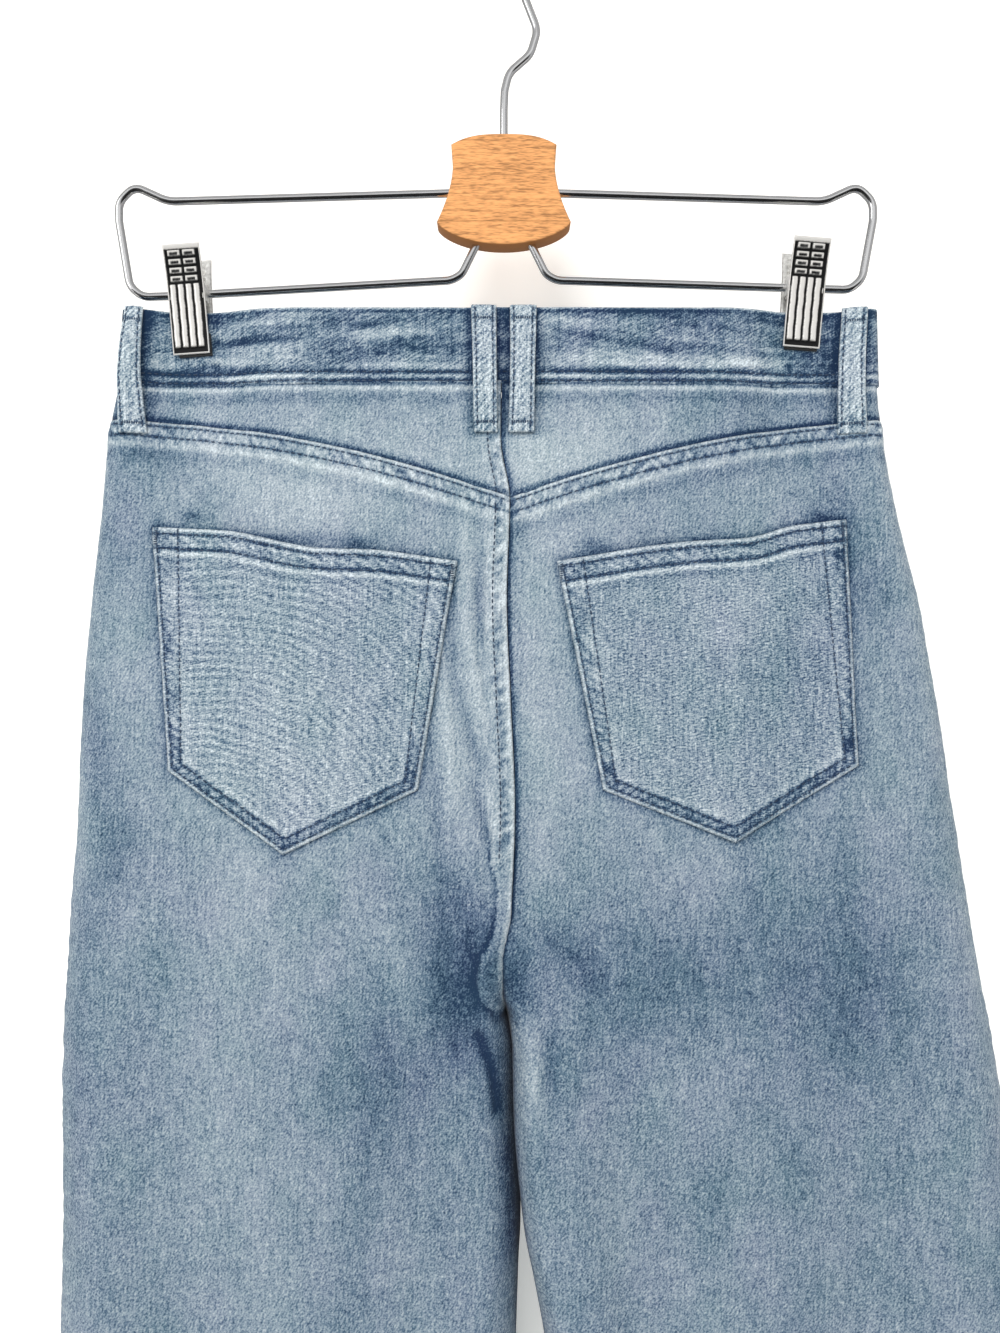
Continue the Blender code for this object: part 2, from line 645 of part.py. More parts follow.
def wire_path(side):
    """Half of the wire frame, from the block's side hole round to the one in its underside."""
    way = -1.0 if side == "left" else 1.0
    corners = [(0.0200, WIRE_TOP)]
    corners += [(REACH[side] - inward, WIRE_TOP + up) for inward, up in WIRE_SHOULDER]
    corners += [(REACH[side] - inward, WIRE_FOOT[side] + up) for inward, up in WIRE_HEEL]
    corners += [*foot_run(side), *WIRE_UNDER]
    return bent([(STEM_X + way * d, 0.0, z) for d, z in corners], WIRE_BEND)


def hide(cutter):
    cutter.hide_render = True
    cutter.display_type = "WIRE"


def cut(target, cutter):
    modifier = target.modifiers.new("cut", "BOOLEAN")
    modifier.operation = "DIFFERENCE"
    modifier.object = cutter
    hide(cutter)


def join(target, extra):
    modifier = target.modifiers.new("join", "BOOLEAN")
    modifier.operation = "UNION"
    modifier.object = extra
    hide(extra)


def rod(name, start, end, radius, sides, finish):
    """A round bar between two points."""
    start, end = Vector(start), Vector(end)
    along = end - start
    bm = bmesh.new()
    turn = along.to_track_quat("Z", "Y").to_matrix().to_4x4()
    bmesh.ops.create_cone(
        bm, cap_ends=True, segments=sides, radius1=radius, radius2=radius, depth=along.length,
        matrix=Matrix.Translation((start + end) / 2) @ turn,
    )  # fmt: skip
    return finish_mesh(bm, name, finish)


def block_outline():
    """Half of the block's outline, from the top's middle down to the underside's: half width and height."""
    outline = [(0.0, 0.0), BLOCK_CROWN, BLOCK_SHOULDER]
    for k in range(8):
        t = k / 7
        outline.append((mix(BLOCK_WAIST[0], BLOCK_HIP[0], t**1.7), mix(BLOCK_WAIST[1], BLOCK_HIP[1], t)))
    tall = BLOCK_TOP - BLOCK_BOTTOM
    for k in range(1, 6):
        t = k / 5
        outline.append((BLOCK_HIP[0] * (1 - t), mix(BLOCK_HIP[1], tall, sin(pi / 2 * t) ** 1.2)))
    return [(x, BLOCK_TOP - down) for x, down in outline]


def centre_block(finish):
    """The wooden block: an arched top, drawn-in sides that flare out, and a bowed underside."""
    outline = block_outline()
    mirrored = [(-x, z) for x, z in outline[-2:0:-1]]
    bm = bmesh.new()
    ring = [bm.verts.new((STEM_X + x, -BLOCK_THICK / 2, z)) for x, z in outline + mirrored]
    face = bm.faces.new(ring)
    grown = bmesh.ops.extrude_face_region(bm, geom=[face])
    far_side = [v for v in grown["geom"] if isinstance(v, bmesh.types.BMVert)]
    bmesh.ops.translate(bm, vec=(0, BLOCK_THICK, 0), verts=far_side)
    flat = [e for e in bm.edges if abs(e.verts[0].co.y - e.verts[1].co.y) < 1e-6]
    bmesh.ops.bevel(
        bm, geom=flat, offset=BLOCK_EDGE, segments=2, profile=0.5, affect="EDGES", material=-1
    )
    block = finish_mesh(bm, "hanger_block", finish)
    hole = WIRE_R + GAP
    mouth = (STEM_X, 0, BLOCK_TOP + 0.01)
    floor = (STEM_X, 0, BLOCK_TOP - STEM_SUNK - GAP)
    cut(block, rod("cut_stem", mouth, floor, hole, 16, finish))
    for name in REACH:
        path = wire_path(name)
        for end, following, label in ((path[0], path[1], "side"), (path[-1], path[-2], "under")):
            out = (following - end).normalized()
            bore = rod(f"cut_{label}_{name}", end - out * GAP * 2, end + out * 0.035, hole, 16, finish)
            cut(block, bore)
    return block


def leaf_out(height):
    """Distance of a clip leaf's outer face from the hanger's plane, at a height above the wire."""
    return smooth_through(sorted(LEAF), height)


def clip(side, metal, rubber):
    """A sprung clip: two leaves that turn on the wire, a spring round it, and a pad in each jaw."""
    spec = CLIPS[side]
    frame = bpy.data.objects.new(f"clip_{side}_frame", None)
    bpy.context.collection.objects.link(frame)
    (outer_x, outer_z), (inner_x, inner_z) = foot_run(side)
    along = (outer_x - abs(spec.x - STEM_X)) / (outer_x - inner_x)
    frame.location = (spec.x, 0.0, mix(outer_z, inner_z, along))
    frame.rotation_euler = (0.0, -spec.lean, 0.0)
    pieces = []
    top, bottom = LEAF[0][0], LEAF[-1][0]
    for face, way in (("front", -1.0), ("rear", 1.0)):
        name = f"clip_{side}_{face}"

        def leaf(u, v, inner):
            height = mix(bottom, top, v)
            out = leaf_out(height) - inner * LEAF_WALL
            return Vector(((u - 0.5) * CLIP_WIDTH, way * out, height))

        plate = wall(name, metal, 1, 6, leaf)
        for mirror in (-1, 1):
            bm = bmesh.new()
            bmesh.ops.create_cube(bm, size=1.0)
            root = leaf_out(0.0) - LEAF_WALL / 3
            bmesh.ops.scale(bm, vec=(LEAF_WALL, root + EAR_INWARD, 2 * EAR_R), verts=bm.verts)
            middle = way * (root - EAR_INWARD) / 2
            bmesh.ops.translate(bm, vec=(mirror * EAR_X[face], middle, 0), verts=bm.verts)
            ear = finish_mesh(bm, f"ear_{name}_{mirror}", metal)
            join(plate, ear)
            pieces.append(ear)
        bore = rod(f"bore_{name}", (-CLIP_WIDTH, 0, 0), (CLIP_WIDTH, 0, 0), EAR_HOLE_R, 16, metal)
        cut(plate, bore)

        def pad(u, v, inner):
            height = mix(bottom - LEAF_WALL, bottom + PAD_HEIGHT, v)
            out = leaf_out(max(height, bottom)) - LEAF_WALL - GAP - inner * PAD_WALL
            return Vector(((u - 0.5) * (CLIP_WIDTH - 2 * PAD_SHY), way * out, height))

        grip = wall(f"clip_{side}_pad_{face}", rubber, 1, 2, pad)
        pieces += [plate, bore, grip]
    half = SPRING_LENGTH / 2
    coil = rod(f"clip_{side}_spring", (-half, 0, 0), (half, 0, 0), SPRING_R, 16, metal)
    cut(coil, rod(f"bore_spring_{side}", (-0.02, 0, 0), (0.02, 0, 0), EAR_HOLE_R, 16, metal))
    pieces += [coil, coil.modifiers["cut"].object]
    for piece in pieces:
        piece.parent = frame


# ---------------------------------------------------------------- the whole
def main():
    for thing in list(bpy.data.objects):
        bpy.data.objects.remove(thing)

    denim = material("washed_denim", (0.33, 0.44, 0.55), 0.85)
    band_denim = material("waistband_denim", (0.24, 0.35, 0.48), 0.85)
    loop_denim = material("loop_denim", (0.42, 0.50, 0.58), 0.85)
    tape = material("zip_tape", (0.20, 0.28, 0.38), 0.80)
    chrome = material("chrome", (0.72, 0.73, 0.75), 0.12, 1.0)
    nickel = material("button_metal", (0.48, 0.46, 0.43), 0.35, 1.0)
    beech = material("beech", (0.76, 0.50, 0.29), 0.45)
    rubber = material("black_rubber", (0.02, 0.02, 0.02), 0.60)

    for side in ("left", "right"):
        panel(f"back_panel_{side}", "back", side, yoke_seam, denim)
        panel(f"front_panel_{side}", "front", side, pocket_mouth, denim)
        yoke(side, denim)
        front_waistband(side, band_denim)
        back_pocket(side, denim)
        pocket_facing(side, denim)
        wire(f"hanger_wire_{side}", wire_path(side), chrome)
        clip(side, chrome, rubber)
    back_waistband(band_denim)
    for name, loop in LOOPS.items():
        belt_loop(name, loop, loop_denim)
    closed_zip(tape, nickel)
    shank_button(nickel)
    hook(chrome)
    centre_block(beech)


main()
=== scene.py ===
"""Looks of wide leg cropped jeans on a clip hanger: washed denim with its seams, stitching and creases, the
chromed wire, its block and clips, and a pale studio.

Metres, +Z up. The back of the jeans faces -Y, so the wearer's left is at -X, and the origin is the inner top
of the hook. On the cloth, heights are distances below the waistband's top edge, and x is measured from
CLOTH_X.
"""

from collections import namedtuple
from math import cos, pi, radians, sin

import bmesh
import bpy
import numpy as np
from bpy.props import FloatProperty, FloatVectorProperty, PointerProperty
from mathutils import Matrix, Vector
from mathutils.bvhtree import BVHTree


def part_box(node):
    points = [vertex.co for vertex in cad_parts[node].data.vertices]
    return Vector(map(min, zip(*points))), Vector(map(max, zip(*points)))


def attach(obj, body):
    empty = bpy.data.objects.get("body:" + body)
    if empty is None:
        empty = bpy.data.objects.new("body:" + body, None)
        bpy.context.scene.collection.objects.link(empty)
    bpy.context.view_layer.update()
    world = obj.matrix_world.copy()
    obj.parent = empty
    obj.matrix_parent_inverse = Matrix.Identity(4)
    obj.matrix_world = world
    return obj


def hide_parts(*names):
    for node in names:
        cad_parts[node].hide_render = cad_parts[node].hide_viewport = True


bl_info = {
    "name": "Wide leg cropped jeans on a clip hanger",
    "version": (1, 0, 0),
    "blender": (4, 5, 0),
    "location": "3D View > Sidebar > Jeans",
    "description": "Dresses the solids of hanging jeans in washed denim, stitching and chromed wire",
    "category": "Object",
}

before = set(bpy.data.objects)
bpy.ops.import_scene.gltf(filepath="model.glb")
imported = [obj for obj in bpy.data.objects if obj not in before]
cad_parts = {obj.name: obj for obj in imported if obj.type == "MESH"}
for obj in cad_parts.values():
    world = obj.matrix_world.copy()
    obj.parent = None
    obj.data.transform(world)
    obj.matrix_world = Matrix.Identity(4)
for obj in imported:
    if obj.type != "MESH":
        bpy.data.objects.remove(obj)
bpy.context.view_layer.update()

# ---------------------------------------------------------------- sizes shared with the solids
GAP = 0.0003
BAND_WALL = 0.0030
BAND_PROUD = 0.0007
CLOTH_X = 0.0065
WAIST_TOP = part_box("waistband_back")[1].z
BAND_HEIGHT = 0.0385
RISE = 0.352
LEGS_TOUCH = 0.0004
LEGS_PART = 0.465
LENGTH = WAIST_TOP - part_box("back_panel_left")[0].z
HEM_TURN = 0.0127
ROUND = 0.028
INNER_ROUND = (0.019, 0.011)
LEAN_REACH = 0.085
YOKE_SIDE = 0.0565
YOKE_POINT = 0.0960
YOKE_SPAN = 0.197
YOKE_CURVE = 1.8
SCOOP_START = 0.095
SCOOP_DEPTH = 0.080
SCOOP_CURVE = 2.2
FACING_UNDER = 0.014
CLIP_REACH = 0.154
CLIP_GRIP = 0.0025
CLIP_HOLD = 0.0115
CLIP_BITE = 0.0270
CLIP_SPREAD = 0.018
CLIP_FADE = 0.055
CLIP_DIP = 0.0011
CLIP_DIP_WIDTH = 0.020
LAP_OVER = 0.018
LAP_UNDER = 0.020
LAP_STEP = 0.012
WIRE_R = 0.0020
STEM_X = 0.0110
LEFT, RIGHT = 1.0, -1.0  # the way from a side seam towards the centre
WAYS = {"left": LEFT, "right": RIGHT}
OUTWARD = {"back": -1.0, "front": 1.0}

# One row for each level of the form: the outer and inner edge of each side, half its depth, how flush the two
# sides meet (0 where they are apart), and how far each inner edge leans towards the front.
Level = namedtuple(
    "Level",
    "below left_out left_in right_in right_out left_deep right_deep join left_lean right_lean",
    defaults=(0.0, 0.0, 0.0),
)
LEVELS = [
    Level(0.0000, -0.1885, 0.0040, 0.0040, 0.1935, 0.0080, 0.0080, 1.00),
    Level(0.0385, -0.1915, 0.0033, 0.0033, 0.1945, 0.0085, 0.0085, 1.00),
    Level(0.0660, -0.1965, 0.0030, 0.0030, 0.1970, 0.0105, 0.0105, 1.00),
    Level(0.0970, -0.1990, 0.0075, 0.0075, 0.2025, 0.0125, 0.0125, 1.00),
    Level(0.1470, -0.2045, 0.0060, 0.0060, 0.2145, 0.0145, 0.0145, 1.00),
    Level(0.1980, -0.2090, 0.0080, 0.0080, 0.2235, 0.0165, 0.0165, 1.00),
    Level(0.2490, -0.2110, 0.0100, 0.0100, 0.2312, 0.0190, 0.0190, 1.00),
    Level(0.3000, -0.2140, 0.0075, 0.0075, 0.2390, 0.0215, 0.0215, 0.96),
    Level(0.3250, -0.2150, 0.0025, 0.0025, 0.2425, 0.0230, 0.0228, 0.78),
    Level(0.3420, -0.2160, 0.0030, 0.0030, 0.2455, 0.0238, 0.0234, 0.42),
    Level(0.3520, -0.2165, 0.0052, 0.0052, 0.2475, 0.0243, 0.0237),
    Level(0.3720, -0.2170, 0.0092, 0.0090, 0.2510, 0.0252, 0.0241, 0.00, 0.004, -0.005),
    Level(0.4020, -0.2175, 0.0100, 0.0096, 0.2560, 0.0265, 0.0245, 0.00, 0.006, -0.007),
    Level(0.4530, -0.2180, 0.0128, 0.0138, 0.2650, 0.0280, 0.0250, 0.00, 0.006, -0.006),
    Level(0.5210, -0.2190, 0.0110, 0.0253, 0.2765, 0.0305, 0.0255, 0.00, 0.004, -0.002),
    Level(0.6200, -0.2205, 0.0090, 0.0390, 0.2900, 0.0325, 0.0265, 0.00, 0.002, 0.000),
    Level(0.7400, -0.2225, 0.0070, 0.0500, 0.3020, 0.0350, 0.0275),
    Level(0.8600, -0.2250, 0.0055, 0.0580, 0.3110, 0.0370, 0.0290),
    Level(1.0130, -0.2280, 0.0040, 0.0640, 0.3190, 0.0390, 0.0310),
]
MIDDLE = LEVELS[0].left_in

# Folds: a ridge where 'height' is positive, a trough where it is negative. The solids have the FOLDS, and the
# CREASES are finer ones that the cloth alone has.
Fold = namedtuple("Fold", "x_top below_top x_end below_end width height")
BACK_FOLDS = [
    Fold(-0.190, 0.29, -0.186, 0.92, 0.013, 0.0030),
    Fold(-0.152, 0.33, -0.132, 1.28, 0.020, -0.0050),
    Fold(-0.094, 0.36, -0.068, 1.40, 0.021, 0.0055),
    Fold(-0.040, 0.34, -0.022, 1.22, 0.014, -0.0050),
    Fold(-0.013, 0.25, -0.002, 0.37, 0.009, 0.0035),
    Fold(0.036, 0.32, 0.064, 0.78, 0.014, 0.0045),
    Fold(0.060, 0.35, 0.116, 1.30, 0.017, -0.0050),
    Fold(0.112, 0.36, 0.186, 1.40, 0.022, 0.0055),
    Fold(0.162, 0.29, 0.246, 1.20, 0.019, -0.0045),
    Fold(0.214, 0.31, 0.290, 1.25, 0.017, 0.0035),
]
BACK_CREASES = [
    Fold(-0.0005, 0.098, -0.0010, 0.180, 0.0032, 0.0012),
    Fold(-0.0078, 0.115, -0.0072, 0.185, 0.0022, -0.0012),
    Fold(-0.0150, 0.150, -0.0040, 0.225, 0.0034, 0.0013),
    Fold(-0.0165, 0.085, -0.0140, 0.175, 0.0040, 0.0010),
    Fold(-0.0185, 0.185, -0.0050, 0.246, 0.0026, -0.0012),
    Fold(-0.0225, 0.120, -0.0190, 0.230, 0.0026, -0.0010),
    Fold(-0.0270, 0.165, -0.0190, 0.262, 0.0036, 0.0012),
    Fold(-0.0330, 0.190, -0.0250, 0.300, 0.0034, -0.0009),
    Fold(-0.0120, 0.232, -0.0005, 0.272, 0.0022, -0.0012),
    Fold(-0.0070, 0.228, 0.0035, 0.270, 0.0030, 0.0012),
    Fold(-0.022, 0.270, -0.016, 0.385, 0.0110, -0.0024),
    Fold(-0.056, 0.290, -0.038, 0.370, 0.0100, 0.0012),
    Fold(0.016, 0.345, 0.020, 0.400, 0.0060, 0.0014),
    Fold(0.026, 0.352, 0.028, 0.400, 0.0045, -0.0012),
    Fold(0.018, 0.300, 0.060, 0.345, 0.0080, -0.0010),
    Fold(-0.176, 0.070, -0.120, 0.110, 0.0100, -0.0008),
    Fold(0.160, 0.080, 0.196, 0.160, 0.0110, -0.0008),
    Fold(-0.206, 0.180, -0.178, 0.300, 0.0120, -0.0012),
]
FRONT_FOLDS = [
    Fold(-0.178, 0.26, -0.172, 1.22, 0.017, -0.0045),
    Fold(-0.125, 0.31, -0.108, 1.38, 0.021, 0.0055),
    Fold(-0.070, 0.34, -0.048, 1.24, 0.016, -0.0050),
    Fold(-0.030, 0.28, -0.018, 0.62, 0.012, 0.0035),
    Fold(0.040, 0.31, 0.092, 1.16, 0.015, 0.0045),
    Fold(0.078, 0.34, 0.148, 1.34, 0.019, -0.0050),
    Fold(0.142, 0.30, 0.226, 1.36, 0.022, 0.0050),
    Fold(0.205, 0.27, 0.276, 1.20, 0.018, -0.0045),
]
FRONT_CREASES = [
    Fold(-0.100, 0.290, -0.012, 0.345, 0.0090, 0.0014),
    Fold(-0.080, 0.320, -0.010, 0.352, 0.0070, -0.0014),
    Fold(-0.150, 0.200, -0.050, 0.262, 0.0120, -0.0010),
    Fold(0.110, 0.285, 0.018, 0.345, 0.0090, 0.0014),
    Fold(0.090, 0.315, 0.016, 0.350, 0.0070, -0.0014),
    Fold(0.160, 0.205, 0.060, 0.270, 0.0120, -0.0010),
]

# The fading, with painted shadows: soft spots that are paler where 'amount' is positive and deeper blue where
# it is negative.
Spot = namedtuple("Spot", "x below wide tall amount")
BACK_WASH_AND_SHADE = [
    Spot(-0.095, 0.086, 0.075, 0.026, 0.19),
    Spot(0.036, 0.076, 0.028, 0.020, 0.15),
    Spot(0.002, 0.185, 0.036, 0.085, 0.12),
    Spot(-0.110, 0.200, 0.060, 0.080, 0.08),
    Spot(0.090, 0.165, 0.055, 0.080, 0.04),
    Spot(0.158, 0.190, 0.026, 0.085, -0.06),
    Spot(-0.125, 0.400, 0.034, 0.150, 0.07),
    Spot(-0.046, 0.362, 0.026, 0.055, -0.15),
    Spot(0.095, 0.330, 0.080, 0.042, -0.10),
    Spot(0.182, 0.335, 0.032, 0.058, -0.13),
    Spot(0.011, 0.332, 0.009, 0.020, -0.20),
    Spot(-0.198, 0.320, 0.012, 0.130, -0.07),
    Spot(-0.193, 0.246, 0.014, 0.034, 0.12),
    Spot(-0.186, 0.100, 0.020, 0.040, -0.10),
    Spot(-0.080, 0.018, 0.085, 0.016, -0.04),
    Spot(0.130, 0.052, 0.045, 0.012, -0.10),
    Spot(0.115, 0.022, 0.055, 0.012, -0.15),
    Spot(0.115, 0.190, 0.055, 0.060, -0.05),
    Spot(0.010, 0.070, 0.020, 0.030, 0.06),
    Spot(0.033, 0.385, 0.030, 0.030, -0.05),
    # The next ten spots, small and dark, lie round the back pockets: those over the mouths are painted shadow
    # of the mouths' edges, and the others darken the pockets along their sides.
    Spot(-0.1510, 0.1050, 0.0060, 0.0036, -0.32),
    Spot(-0.0980, 0.1170, 0.0180, 0.0034, -0.26),
    Spot(-0.0690, 0.1185, 0.0100, 0.0034, -0.24),
    Spot(-0.1610, 0.1715, 0.0022, 0.0055, -0.30),
    Spot(-0.1590, 0.2140, 0.0020, 0.0060, -0.20),
    Spot(0.0490, 0.1205, 0.0070, 0.0036, -0.28),
    Spot(0.1610, 0.1055, 0.0060, 0.0026, -0.30),
    Spot(0.1695, 0.1247, 0.0030, 0.0045, -0.30),
    Spot(0.0438, 0.1540, 0.0030, 0.0080, -0.24),
    Spot(0.1740, 0.2180, 0.0024, 0.0050, -0.26),
    Spot(0.0500, 0.1770, 0.0060, 0.0110, 0.12),
    Spot(0.1705, 0.2240, 0.0032, 0.0032, 0.20),
]
FRONT_WASH = [
    Spot(-0.105, 0.430, 0.045, 0.170, 0.20),
    Spot(0.130, 0.430, 0.050, 0.170, 0.20),
    Spot(-0.110, 0.170, 0.050, 0.060, 0.06),
    Spot(0.115, 0.170, 0.050, 0.060, 0.06),
    Spot(0.004, 0.330, 0.040, 0.050, -0.14),
    Spot(-0.205, 0.380, 0.016, 0.200, -0.10),
    Spot(0.250, 0.380, 0.020, 0.200, -0.10),
]

# Patch pockets: the mouth's points from the left, then the three lower corners.
Pocket = namedtuple("Pocket", "mouth low_left tip low_right")
POCKETS = {
    "left": Pocket(
        [(-0.1701, 0.1112), (-0.1329, 0.1132), (-0.0873, 0.1216), (-0.0610, 0.1226), (-0.0188, 0.1281)],
        (-0.1605, 0.2316), (-0.1036, 0.2725), (-0.0378, 0.2410),
    ),
    "right": Pocket(
        [(0.0308, 0.1281), (0.0953, 0.1186), (0.1251, 0.1167), (0.1474, 0.1107), (0.1748, 0.1072)],
        (0.0532, 0.2410), (0.1178, 0.2665), (0.1786, 0.2290),
    ),
}  # fmt: skip

# Belt loops: centre and width at the top, middle and bottom.
Loop = namedtuple("Loop", "face x_top x_mid x_end wide_top wide_mid wide_end")
LOOPS = {
    "belt_loop_back_left": Loop("back", -0.0056, -0.0050, -0.0045, 0.0128, 0.0120, 0.0120),
    "belt_loop_back_right": Loop("back", 0.0142, 0.0138, 0.0132, 0.0135, 0.0125, 0.0130),
    "belt_loop_side_left": Loop("back", -0.1810, -0.1828, -0.1808, 0.0096, 0.0124, 0.0138),
    "belt_loop_side_right": Loop("back", 0.1808, 0.1786, 0.1790, 0.0122, 0.0126, 0.0140),
    "belt_loop_front_left": Loop("front", -0.0880, -0.0885, -0.0890, 0.0130, 0.0128, 0.0132),
    "belt_loop_front_right": Loop("front", 0.0965, 0.0970, 0.0975, 0.0130, 0.0128, 0.0132),
}
HALVES = [0.0, 0.5, 1.0]
LOOP_TOP = -0.0006
LOOP_END = 0.0638
LOOP_SLACK = 0.0027
LOOP_DROP = 0.010
LOOP_WALL = 0.0022
LOOP_TACKS = (0.0065, LOOP_END - 0.0052)
LOOP_ROW = 0.0019

# Rows of stitches: from a lap's edge, from the band's top edge and from the hem. Bar tacks are sewn closer.
LAP_ROWS = (0.0022, 0.0078)
BAND_ROWS = (0.0325, 0.0370)
TOP_ROW = 0.0030
HEM_ROW = HEM_TURN - 0.0020
HEM_SPAN = (-0.20, 0.30)
TACK_PITCH, TACK_LENGTH = 0.0011, 0.0020
POCKET_TACK, LOOP_TACK = 0.0080, 0.0100
FLY_WIDE, FLY_BEND, FLY_DEEP = 0.036, 0.118, 0.034


# ---------------------------------------------------------------- shapes as numbers
def mix(a, b, share):
    return a + (b - a) * share


def ease(share):
    share = np.clip(share, 0.0, 1.0)
    return share * share * (3.0 - 2.0 * share)


def bell(distance, width):
    return np.exp(-((distance / width) ** 2))


def smooth_through(places, heights, at):
    """Height at 'at' of a curve through the points (place, height) that never overshoots them."""
    places = np.asarray(places, float)
    heights = np.asarray(heights, float)
    steps = np.diff(places)
    slopes = np.diff(heights) / steps
    tangents = np.zeros(len(places))
    tangents[0], tangents[-1] = slopes[0], slopes[-1]
    before, after = slopes[:-1], slopes[1:]
    same_way = before * after > 0
    tangents[1:-1][same_way] = (2 * before * after)[same_way] / (before + after)[same_way]
    at = np.clip(at, places[0], places[-1])
    k = np.clip(np.searchsorted(places, at, side="right") - 1, 0, len(steps) - 1)
    step = steps[k]
    t = (at - places[k]) / step
    return (
        (2 * t**3 - 3 * t**2 + 1) * heights[k]
        + (t**3 - 2 * t**2 + t) * step * tangents[k]
        + (3 * t**2 - 2 * t**3) * heights[k + 1]
        + (t**3 - t**2) * step * tangents[k + 1]
    )


def noise(x, y, seed):
    """Smooth noise from -1 to 1 on a unit grid, the same on every run."""
    x, y = np.broadcast_arrays(np.asarray(x, float), np.asarray(y, float))
    column, row = np.floor(x), np.floor(y)
    across_cell, down_cell = ease(x - column), ease(y - row)

    def value(i, j):
        mixed = np.sin((column + i) * 127.1 + (row + j) * 311.7 + seed * 74.7) * 43758.5453
        return 2.0 * (mixed - np.floor(mixed)) - 1.0

    upper = mix(value(0, 0), value(1, 0), across_cell)
    lower = mix(value(0, 1), value(1, 1), across_cell)
    return mix(upper, lower, down_cell)


def ripples(run, away, length, slant, seed):
    """An uneven wave along a seam, from -1 to 1, whose crests slant across it."""
    drift = 0.9 * noise(run / (2.2 * length), away / (5 * length), seed)
    strength = 0.65 + 0.35 * noise(run / (3.1 * length), 0.5, seed + 1)
    return np.sin(2 * pi * ((run - slant * away) / length + drift)) * strength


def level(below):
    """The form's row at each height, read smoothly between the rows of the table."""
    heights = [row.below for row in LEVELS]
    columns = [
        smooth_through(heights, [getattr(row, name) for row in LEVELS], below)
        for name in Level._fields[1:]
    ]
    return Level(below, *columns)


def side_of(row, toward):
    """Outer edge, inner edge, half depth, lean and inner turn of the side that each point is on."""
    left = np.asarray(toward) > 0
    return (
        np.where(left, row.left_out, row.right_out),
        np.where(left, row.left_in, row.right_in),
        np.where(left, row.left_deep, row.right_deep),
        np.where(left, row.left_lean, row.right_lean),
        np.where(left, *INNER_ROUND),
    )


def set_back(below):
    """How far a side stops short of the centre seam: a hair above the crotch, below 0 where legs touch."""
    touching = ease((below - RISE - 0.004) / 0.012) * (1.0 - ease((below - LEGS_PART) / 0.020))
    return mix(GAP / 2, -LEGS_TOUCH, touching)


def inner_bend(row, deep, inner_round):
    """Radius of the turn at a side's inner edge, next to nothing where the two sides meet flush."""
    return np.maximum(np.minimum(deep, inner_round) * (1.0 - row.join), 1e-5)


def corner(share):
    """Quarter circle: 0 at the fold, 1 where the cloth has turned flat."""
    return np.sqrt(1.0 - (1.0 - np.clip(share, 0.0, 1.0)) ** 2)


def fold_height(folds, x, below):
    """Height of the folds at each point: each one swells from its ends to its middle."""
    total = np.zeros_like(x)
    for fold in folds:
        run = np.array([fold.x_end - fold.x_top, fold.below_end - fold.below_top])
        length = np.hypot(*run)
        to_x, to_down = x - fold.x_top, below - fold.below_top
        share = np.clip((to_x * run[0] + to_down * run[1]) / length**2, 0.0, 1.0)
        aside = (to_x * run[1] - to_down * run[0]) / length
        total += fold.height * np.sin(pi * share) * bell(aside, fold.width)
    return total


def off_clip(x):
    """Distance of x from the nearer clip's middle."""
    return np.abs(np.abs(x - MIDDLE) - CLIP_REACH)


def pinch(x, below):
    """1 where a clip holds front and back together, falling to 0 beside it and under it."""
    aside = np.maximum(off_clip(x) - CLIP_HOLD, 0.0)
    under = np.maximum(below - CLIP_BITE, 0.0)
    return bell(aside, CLIP_SPREAD) * bell(under, CLIP_FADE)


def on_cloth(face, toward, x, below, lift=0.0):
    """Points of the cloth's form at x and a height, lifted off its outer face."""
    x, below, lift = np.broadcast_arrays(*(np.asarray(a, float) for a in (x, below, lift)))
    row = level(below)
    out, inn, deep, lean, inner_round = side_of(row, toward)
    deep = mix(deep, CLIP_GRIP, pinch(x, below))
    folds = BACK_FOLDS + BACK_CREASES if face == "back" else FRONT_FOLDS + FRONT_CREASES
    deep = deep + fold_height(folds, x, below)
    sunk = np.minimum(lift, 0.0)
    deep = deep + sunk
    out = out - toward * sunk
    inn = inn - toward * (set_back(below) - sunk * (1.0 - row.join))
    held = np.clip(x, np.minimum(out, inn), np.maximum(out, inn))
    outer_turn = corner(np.abs(held - out) / np.minimum(deep, ROUND + sunk))
    inner_turn = mix(corner(np.abs(held - inn) / np.minimum(deep, inner_round + sunk)), 1.0, row.join)
    y = GAP / 2 + (deep - GAP / 2) * outer_turn * inner_turn + np.maximum(lift, 0.0)
    leaned = lean * (1.0 - ease(np.abs(held - inn) / LEAN_REACH))
    past = np.where(toward * (x - inn) > 0, x - held, 0.0)
    return np.stack([CLOTH_X + held + past, leaned + OUTWARD[face] * y, WAIST_TOP - below], axis=-1)


def across(toward, share, below, sunk=0.0):
    """x at a share of the cloth's own width, from the side seam to the centre, even along its bends."""
    row = level(below)
    out, inn, deep, _, inner_round = side_of(row, toward)
    out = out + toward * sunk
    inn = inn - toward * (set_back(below) + sunk * (1.0 - row.join))
    outer = np.minimum(deep, ROUND) - sunk
    inner = inner_bend(row, deep, inner_round)
    width = np.abs(inn - out)
    outer_arc, inner_arc = outer * pi / 2, inner * pi / 2
    total = outer_arc + inner_arc + width - outer - inner
    run = np.clip(share, 0.0, 1.0) * total
    distance = np.select(
        [run < outer_arc, run > total - inner_arc],
        [outer * (1.0 - np.cos(run / outer)), width - inner * (1.0 - np.cos((total - run) / inner))],
        run - outer_arc + outer,
    )
    return out + toward * distance


def round_fold(off, radius):
    """The way along a rounded fold from its edge, for a place 'off' from that edge as seen flat."""
    share = np.clip(off / radius, 0.0, 1.0)
    return radius * np.arccos(1.0 - share) + np.maximum(off - radius, 0.0)


